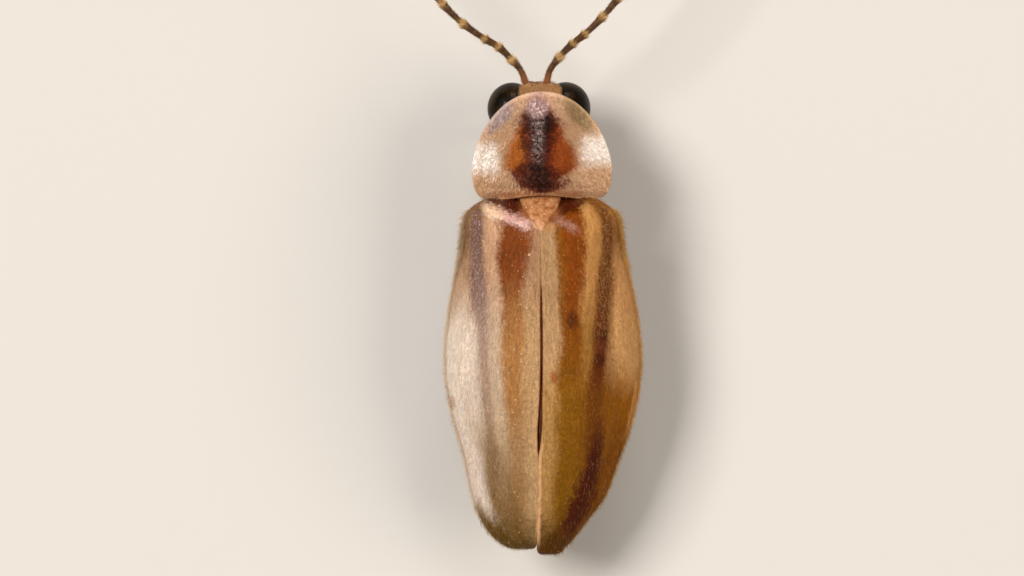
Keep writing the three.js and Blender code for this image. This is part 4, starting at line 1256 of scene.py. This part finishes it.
def feelerRadii(index, last):
    # narrow at the neck and thickest near the apex; the first joint has a stout root, the last a point
    thin = 0.8 if index > 6 else 1.0
    neck, apex = feeler["neck"] * thin, feeler["apex"] * thin
    if last:
        return [(0, neck), (0.3, apex * 0.8), (0.7, apex * 0.75), (1, apex * 0.2)]
    if index == 0:
        return [(0, neck * 1.6), (0.15, neck * 1.3), (0.5, apex * 0.75), (0.85, apex), (1, apex * 0.7)]
    return [(0, neck), (0.35, neck * 1.15), (0.7, apex * 0.9), (0.86, apex), (1, apex * 0.75)]


def makeFeeler(word, material, hairFinish):
    path, _, k, length = route(feelerRoutes[word], 900)
    reach = k * length
    nearEnds = [reach[np.linalg.norm(path - end, axis=1).argmin()] for end in feelerRoutes[word][2:7]]
    farShares = np.cumsum(feeler["farJoints"]) / sum(feeler["farJoints"])
    joints = [0, *nearEnds, *(nearEnds[-1] + farShares * (length - nearEnds[-1]))]
    form = Form()
    coat = Coat(np.random.default_rng(feeler["seed"] + sides[word]), feeler["tiles"])
    for index, (start, end) in enumerate(zip(joints, joints[1:])):
        last = index == len(joints) - 2
        points = pointsAt(np.linspace(start, end + (0 if last else 0.02), 6), reach, path)
        rings = limb(
            points, feelerRadii(index, last), turns=feeler["turns"], rows=feeler["rows"], flat=feeler["flat"])
        paleShare = 0.5 if last else 1.0
        form.add(rings, ease(np.linspace(0, 1, feeler["rows"]), 0.5, 0.9)[:, None] * paleShare)
        spots = scatter(rings, feeler["hairs"], coat.draw, rings.mean(1))
        tint = ease(spots["chart"][:, 1], 0.58, 0.82) * paleShare
        ringed = tint[:, None]
        coat.grow(
            spots, spots["along"], 0.09 + 0.08 * ringed, lift=0.5 + 0.6 * ringed, width=feeler["hairWidth"],
            pale=0.15 + 0.6 * tint, tint=tint, spread=0.25 + 0.35 * ringed)
    form.build(f"feeler_{word}", material, "antenna", [f"antenna_{word}"])
    coat.build(f"feelerHair_{word}", hairFinish, "antenna")


feelerPaint = {"dark": "341808", "brown": "6a3c14", "root": "9a5a30", "ring": "d2a868"}


def feelerColours(shader, place):
    mottle = shader.noise(place, 9.0)
    _, y, _ = shader.axes(place)
    return shader.painted(colour(feelerPaint["dark"]), feelerPaint, [
        ("brown", mottle.step(0.4, 0.65)),
        ("root", y.step(-0.75, -0.35) * 0.8),
        ("ring", (shader.attribute("tint") + (mottle - 0.5) * 0.9).step(0.3, 0.95)),
    ])


# Legs

legPlans = {
    "front": {
        "root": (0.52, 2.35, 1.95), "hip": (0.66, 2.85, 1.36), "knee": (1.48, 1.52, 2.2),
        "ankle": (1.3, 1.1, 0.26), "toes": (1.08, -0.02, 0.1), "coxa": 0.27,
    },
    "middle": {
        "root": (0.54, 4.05, 1.8), "hip": (0.74, 4.55, 1.14), "knee": (2.15, 6.05, 1.98),
        "ankle": (1.98, 6.45, 0.26), "toes": (2.15, 7.9, 0.1), "coxa": 0.29,
    },
    "hind": {
        "root": (0.55, 6.2, 1.75), "hip": (0.85, 6.7, 1.1), "knee": (2.22, 8.65, 1.65),
        "ankle": (1.86, 10.35, 0.26), "toes": (1.42, 11.7, 0.1), "coxa": 0.31,
    },
}
# for each part the radii along it, its tint, how many hairs it has and how its rings are made
legParts = {
    "coxa": {"tint": 0.1, "hairs": 340, "rows": 26, "turns": 24},
    "trochanter": {"radii": [(0, 0.17), (0.5, 0.2), (1, 0.14)], "tint": 0.15, "hairs": 60},
    "thigh": {
        "radii": [(0, 0.12), (0.15, 0.18), (0.45, 0.23), (0.8, 0.17), (1, 0.12)], "tint": 0.1, "hairs": 880,
        "rows": 34,
    },
    "shin": {
        "radii": [(0, 0.1), (0.1, 0.12), (0.7, 0.13), (1, 0.12)], "tint": 0.55, "hairs": 880, "rows": 34,
        "up": (0, 1, 0.1),
    },
    "spur": {"radii": [(0, 0.035), (1, 0.008)], "tint": 0.9, "turns": 8, "rows": 10},
    "footJoint": {"radii": [(0, 0.06), (0.75, 0.095), (1, 0.08)], "hairs": 60, "rows": 20},
    "lobe": {"radii": [(0, 0.05), (0.7, 0.09), (1, 0.07)], "hairs": 40, "flat": 0.7, "rows": 20},
    "claw": {"radii": [(0, 0.045), (0.5, 0.035), (1, 0.008)], "tint": 1.0, "turns": 10, "rows": 16},
}
# where the five foot joints end along the foot, their tints, and the index of the one with two lobes
footJoints = {"ends": [0.0, 0.27, 0.45, 0.6, 0.78, 1.0], "tints": [0.7, 0.7, 0.7, 0.75, 0.5], "lobed": 3}
legHair = {"seed": 41, "tiles": 10, "hair": {"length": 0.13, "lift": 0.5, "width": 0.0095, "pale": 0.4}}


def makeLeg(place, word, material, coat):
    # coxa, trochanter, thigh and shin, two spurs at the ankle, five foot joints of which the fourth
    # has two lobes, and two claws
    plan = legPlans[place]
    coxa = plan["coxa"]
    root, hip, knee, ankle, toes = (np.array(plan[key]) for key in ("root", "hip", "knee", "ankle", "toes"))
    form = Form()

    def part(points, radii, tint=0.0, hairs=0, **options):
        rings = limb(mirrored(points, sides[word]), radii, **options)
        rings[..., 2] = np.maximum(rings[..., 2], leastHeight)
        form.add(rings, tint)
        if hairs:
            spots = scatter(rings, hairs, coat.draw, rings.mean(1))
            coat.grow(spots, spots["along"], tint=tint, **legHair["hair"])

    part([root, blend(root, hip, 0.5), hip], [(0, coxa), (0.5, coxa), (1, 0.18)], **legParts["coxa"])
    outward = unit(knee - hip)
    part([hip - outward * 0.12, hip + outward * 0.16], **legParts["trochanter"])
    part([hip, blend(hip, knee, 0.5) + [0, -0.05, 0.06], knee], **legParts["thigh"])
    part([knee, blend(knee, ankle, 0.5) + [0.05, 0, 0], ankle], **legParts["shin"])
    heading = unit((toes - ankle) * [1, 1, 0])
    across = np.array([heading[1], -heading[0], 0])
    for way in (-1, 1):
        spur = ankle + across * way * 0.08
        part([spur + [0, 0, 0.06], spur + heading * 0.12 - [0, 0, 0.1]], **legParts["spur"])
    sole = blend(ankle, toes, 0.22) * [1, 1, 0] + [0, 0, 0.1]
    path, _, k, _ = route([ankle, sole, blend(sole, toes, 0.5), toes], 120)
    ends = footJoints["ends"]
    for index, (start, end, tint) in enumerate(zip(ends, ends[1:], footJoints["tints"])):
        points = pointsAt(np.linspace(start, end + 0.02, 4), k, path)
        if index == footJoints["lobed"]:
            for way in (-1, 1):
                lobe = points + across * way * np.linspace(0.02, 0.09, 4)[:, None]
                part(lobe, tint=tint, **legParts["lobe"])
        else:
            part(points, tint=tint, **legParts["footJoint"])
    for way in (-1, 1):
        bend = toes + heading * 0.1 + across * way * 0.06 + [0, 0, 0.03]
        tip = toes + heading * 0.22 + across * way * 0.09 - [0, 0, 0.07]
        part([toes, bend, tip], **legParts["claw"])
    form.build(f"leg{place.capitalize()}_{word}", material, "leg", [f"leg_{place}_{word}"])


def makeLegs(material, hairFinish):
    coat = Coat(np.random.default_rng(legHair["seed"]), legHair["tiles"])
    for place in legPlans:
        for word in sides:
            makeLeg(place, word, material, coat)
    coat.build("legHair", hairFinish, "leg")


legPaint = {"pale": "b98550", "brown": "8a5a2c", "dark": "4a2a14", "claw": "170b06"}


def legColours(shader, place):
    tint = shader.attribute("tint")
    return shader.painted(colour(legPaint["pale"]), legPaint, [
        ("brown", shader.noise(place, 4.0).step(0.35, 0.7)),
        ("dark", tint.step(0.3, 0.7)),
        ("claw", tint.step(0.8, 0.95)),
    ])


# Hind wings, folded flat under the wing cases

hindWing = {
    "start": 4.75, "end": {1: 11.3, -1: 10.4}, "inner": {1: -0.1, -1: 0.9}, "depth": 0.62, "thickness": 0.05,
    "rows": 150, "places": 60,
    "veins": [(0.2, 0.08), (0.45, -0.05), (0.7, -0.12)],     # where each starts in u, and its drift
    "fold": 0.38, "crease": 0.14,       # how high the left wing's inner edge stands under the slit
    "colours": ("8a4018", "b0642e"),
}
hindWingOuter = curve((4.75, 1.25), (7.5, 1.45), (10.0, 1.35), (11.3, 1.05))


def makeHindWing(word, material):
    # the wing case's own height less a depth, with veins as ridges and folds between them
    side = sides[word]
    v, u = grid(hindWing["rows"], hindWing["places"])
    y = blend(hindWing["start"], hindWing["end"][side], v)
    x = blend(hindWing["inner"][side], hindWingOuter(y), u)
    z = hem(y) + backHeight(np.abs(x), outerEdge(y), y) - hindWing["depth"]
    for start, drift in hindWing["veins"]:
        z = z + 0.03 * bump(u, start + drift * v, 0.02)
    z = z + 0.015 * np.sin(u * 25 + 3 * np.sin(v * 9))
    fromSeam = x - side * seamLine(y)
    fold = hindWing["fold"] * bump(fromSeam, 0, 0.12) + hindWing["crease"] * bump(fromSeam, 0, 0.045)
    z = z + fold * ease(y, 5.0, 5.6) * ease(y, 10.9, 10.4)
    rings = shellRings(joined(side * x, y, z), hindWing["thickness"])
    makeShape(f"foldedWing_{word}", rings, material, "wing_membrane", [f"hindwing_{word}"])


for word in sides:
    paint = partial(wingColours, word=word)
    hairFinish = hairMaterial(f"wingCaseHair_{word}", paint, wingPaint[word]["hair"])
    makeWingCase(word, wingCaseMaterial(word), hairFinish)
makePronotum(pronotumMaterial(), hairMaterial("pronotumHair", pronotumColours, "d8c4b8"))
makeScutellum(grainedMaterial(
    "scutellumPlate", scutellumColours, (6.0, 4.0, 0.65), (0.35, 0.55), 0.04, Specular_IOR_Level=0.15,
    Subsurface_Weight=0.1, Subsurface_Scale=0.2 * mm))
body, head = makeSkin(skinMaterial())
jawPaint = partial(twoTones, codes=mouth["colours"], scale=6.0)
makeJaws(grainedMaterial("mandibles", jawPaint, (6.0,), (0.3, 0.5), 0.02, Coat_Weight=0.08))
makeBodyHair(body, head, hairMaterial("bodyHair", skinColours, "d4ac78"))
eyeFinish = eyeMaterial()
feelerFinish = grainedMaterial("feeler", feelerColours, (18.0,), (0.35, 0.6), 0.012)
feelerHairFinish = hairMaterial("feelerHair", feelerColours, "d8b47c")
membranePaint = partial(twoTones, codes=hindWing["colours"], scale=2.0, low=0.35)
membraneFinish = grainedMaterial(
    "foldedWing", membranePaint, (2.0,), (0.2, 0.4), 0.02, stretch=(3.0, 0.6, 3.0), Coat_Weight=0.3)
for word in sides:
    makeEye(word, eyeFinish)
    makeFeeler(word, feelerFinish, feelerHairFinish)
    makeHindWing(word, membraneFinish)
legFinish = grainedMaterial(
    "leg", legColours, (16.0,), (0.4, 0.65), 0.03, Specular_IOR_Level=0.2, Subsurface_Weight=0.1,
    Subsurface_Scale=0.15 * mm)
makeLegs(legFinish, hairMaterial("legHair", legColours, "b98b52"))


# Floor, lights and camera

studio = {
    "pixelsPerMm": 35.7,
    "frameWidth": 1024,
    "viewCentre": (0.81, 5.5, 4.0),      # body millimetres at the middle of the picture
    "distance": 150.0,
    "roll": -0.009,
    "floorSize": 3000.0,
    "floorColour": "c8c6c3",
    "target": (0, 6.0, 3.5),
    # name, place from the target, size, power and colour of each lamp
    "lamps": [
        ("keyLight", (55, -26, 86.5), 40, 0.118, "fff8f0"),
        ("fillLight", (-70, 4, 66.5), 60, 0.055, "fff0e0"),
        ("frontLight", (-10, -96, 56.5), 40, 0.035, "ffffff"),
    ],
    "lightReach": 8.0,                   # how much further off the lamps stand, and larger they are
    "sky": "f2eee8",
    "skyStrength": 0.2,
}


def makeFloor():
    half = studio["floorSize"] / 2 * mm
    corners = [(-half, -half, 0), (half, -half, 0), (half, half, 0), (-half, half, 0)]
    mesh = bpy.data.meshes.new("studioFloor")
    mesh.from_pydata(corners, [], [(0, 1, 2, 3)])
    floor = bpy.data.objects.new("studioFloor", mesh)
    bpy.context.scene.collection.objects.link(floor)
    shader = Shader("studioFloor")
    grain = shader.noise(shader.place(), 0.05)
    finish = shader.finish(colour(studio["floorColour"]), grain * 0.1 + 0.75, Specular_IOR_Level=0.2)
    mesh.materials.append(finish)


def makeLight(name, place, size, power, tone):
    data = bpy.data.lights.new(name, "AREA")
    reach = studio["lightReach"]
    data.size = size * reach * mm
    data.energy = power * reach ** 2
    data.color = colour(tone)[:3]
    lamp = bpy.data.objects.new(name, data)
    bpy.context.scene.collection.objects.link(lamp)
    target = np.array(studio["target"]) * mm + bodyOrigin
    spot = target + np.array(place) * reach * mm
    lamp.location = spot
    lamp.rotation_euler = Vector(target - spot).to_track_quat("-Z", "Y").to_euler()


def makeCamera():
    data = bpy.data.cameras.new("camera")
    width = studio["frameWidth"] / studio["pixelsPerMm"]
    data.sensor_width = 36
    data.lens = data.sensor_width * studio["distance"] / width
    data.clip_start = 1 * mm
    data.clip_end = 2
    camera = bpy.data.objects.new("camera", data)
    bpy.context.scene.collection.objects.link(camera)
    camera.location = (np.array(studio["viewCentre"]) + [0, 0, studio["distance"]]) * mm + bodyOrigin
    camera.rotation_euler = (0, 0, math.pi + studio["roll"])
    bpy.context.scene.camera = camera


def makeWorld():
    world = bpy.data.worlds.new("studioWorld")
    world.use_nodes = True
    background = world.node_tree.nodes["Background"]
    background.inputs["Color"].default_value = colour(studio["sky"])
    background.inputs["Strength"].default_value = studio["skyStrength"]
    bpy.context.scene.world = world


bpy.context.scene.view_settings.view_transform = "Standard"
makeFloor()
for lamp in studio["lamps"]:
    makeLight(*lamp)
makeCamera()
makeWorld()
print("floor, lights and camera made")
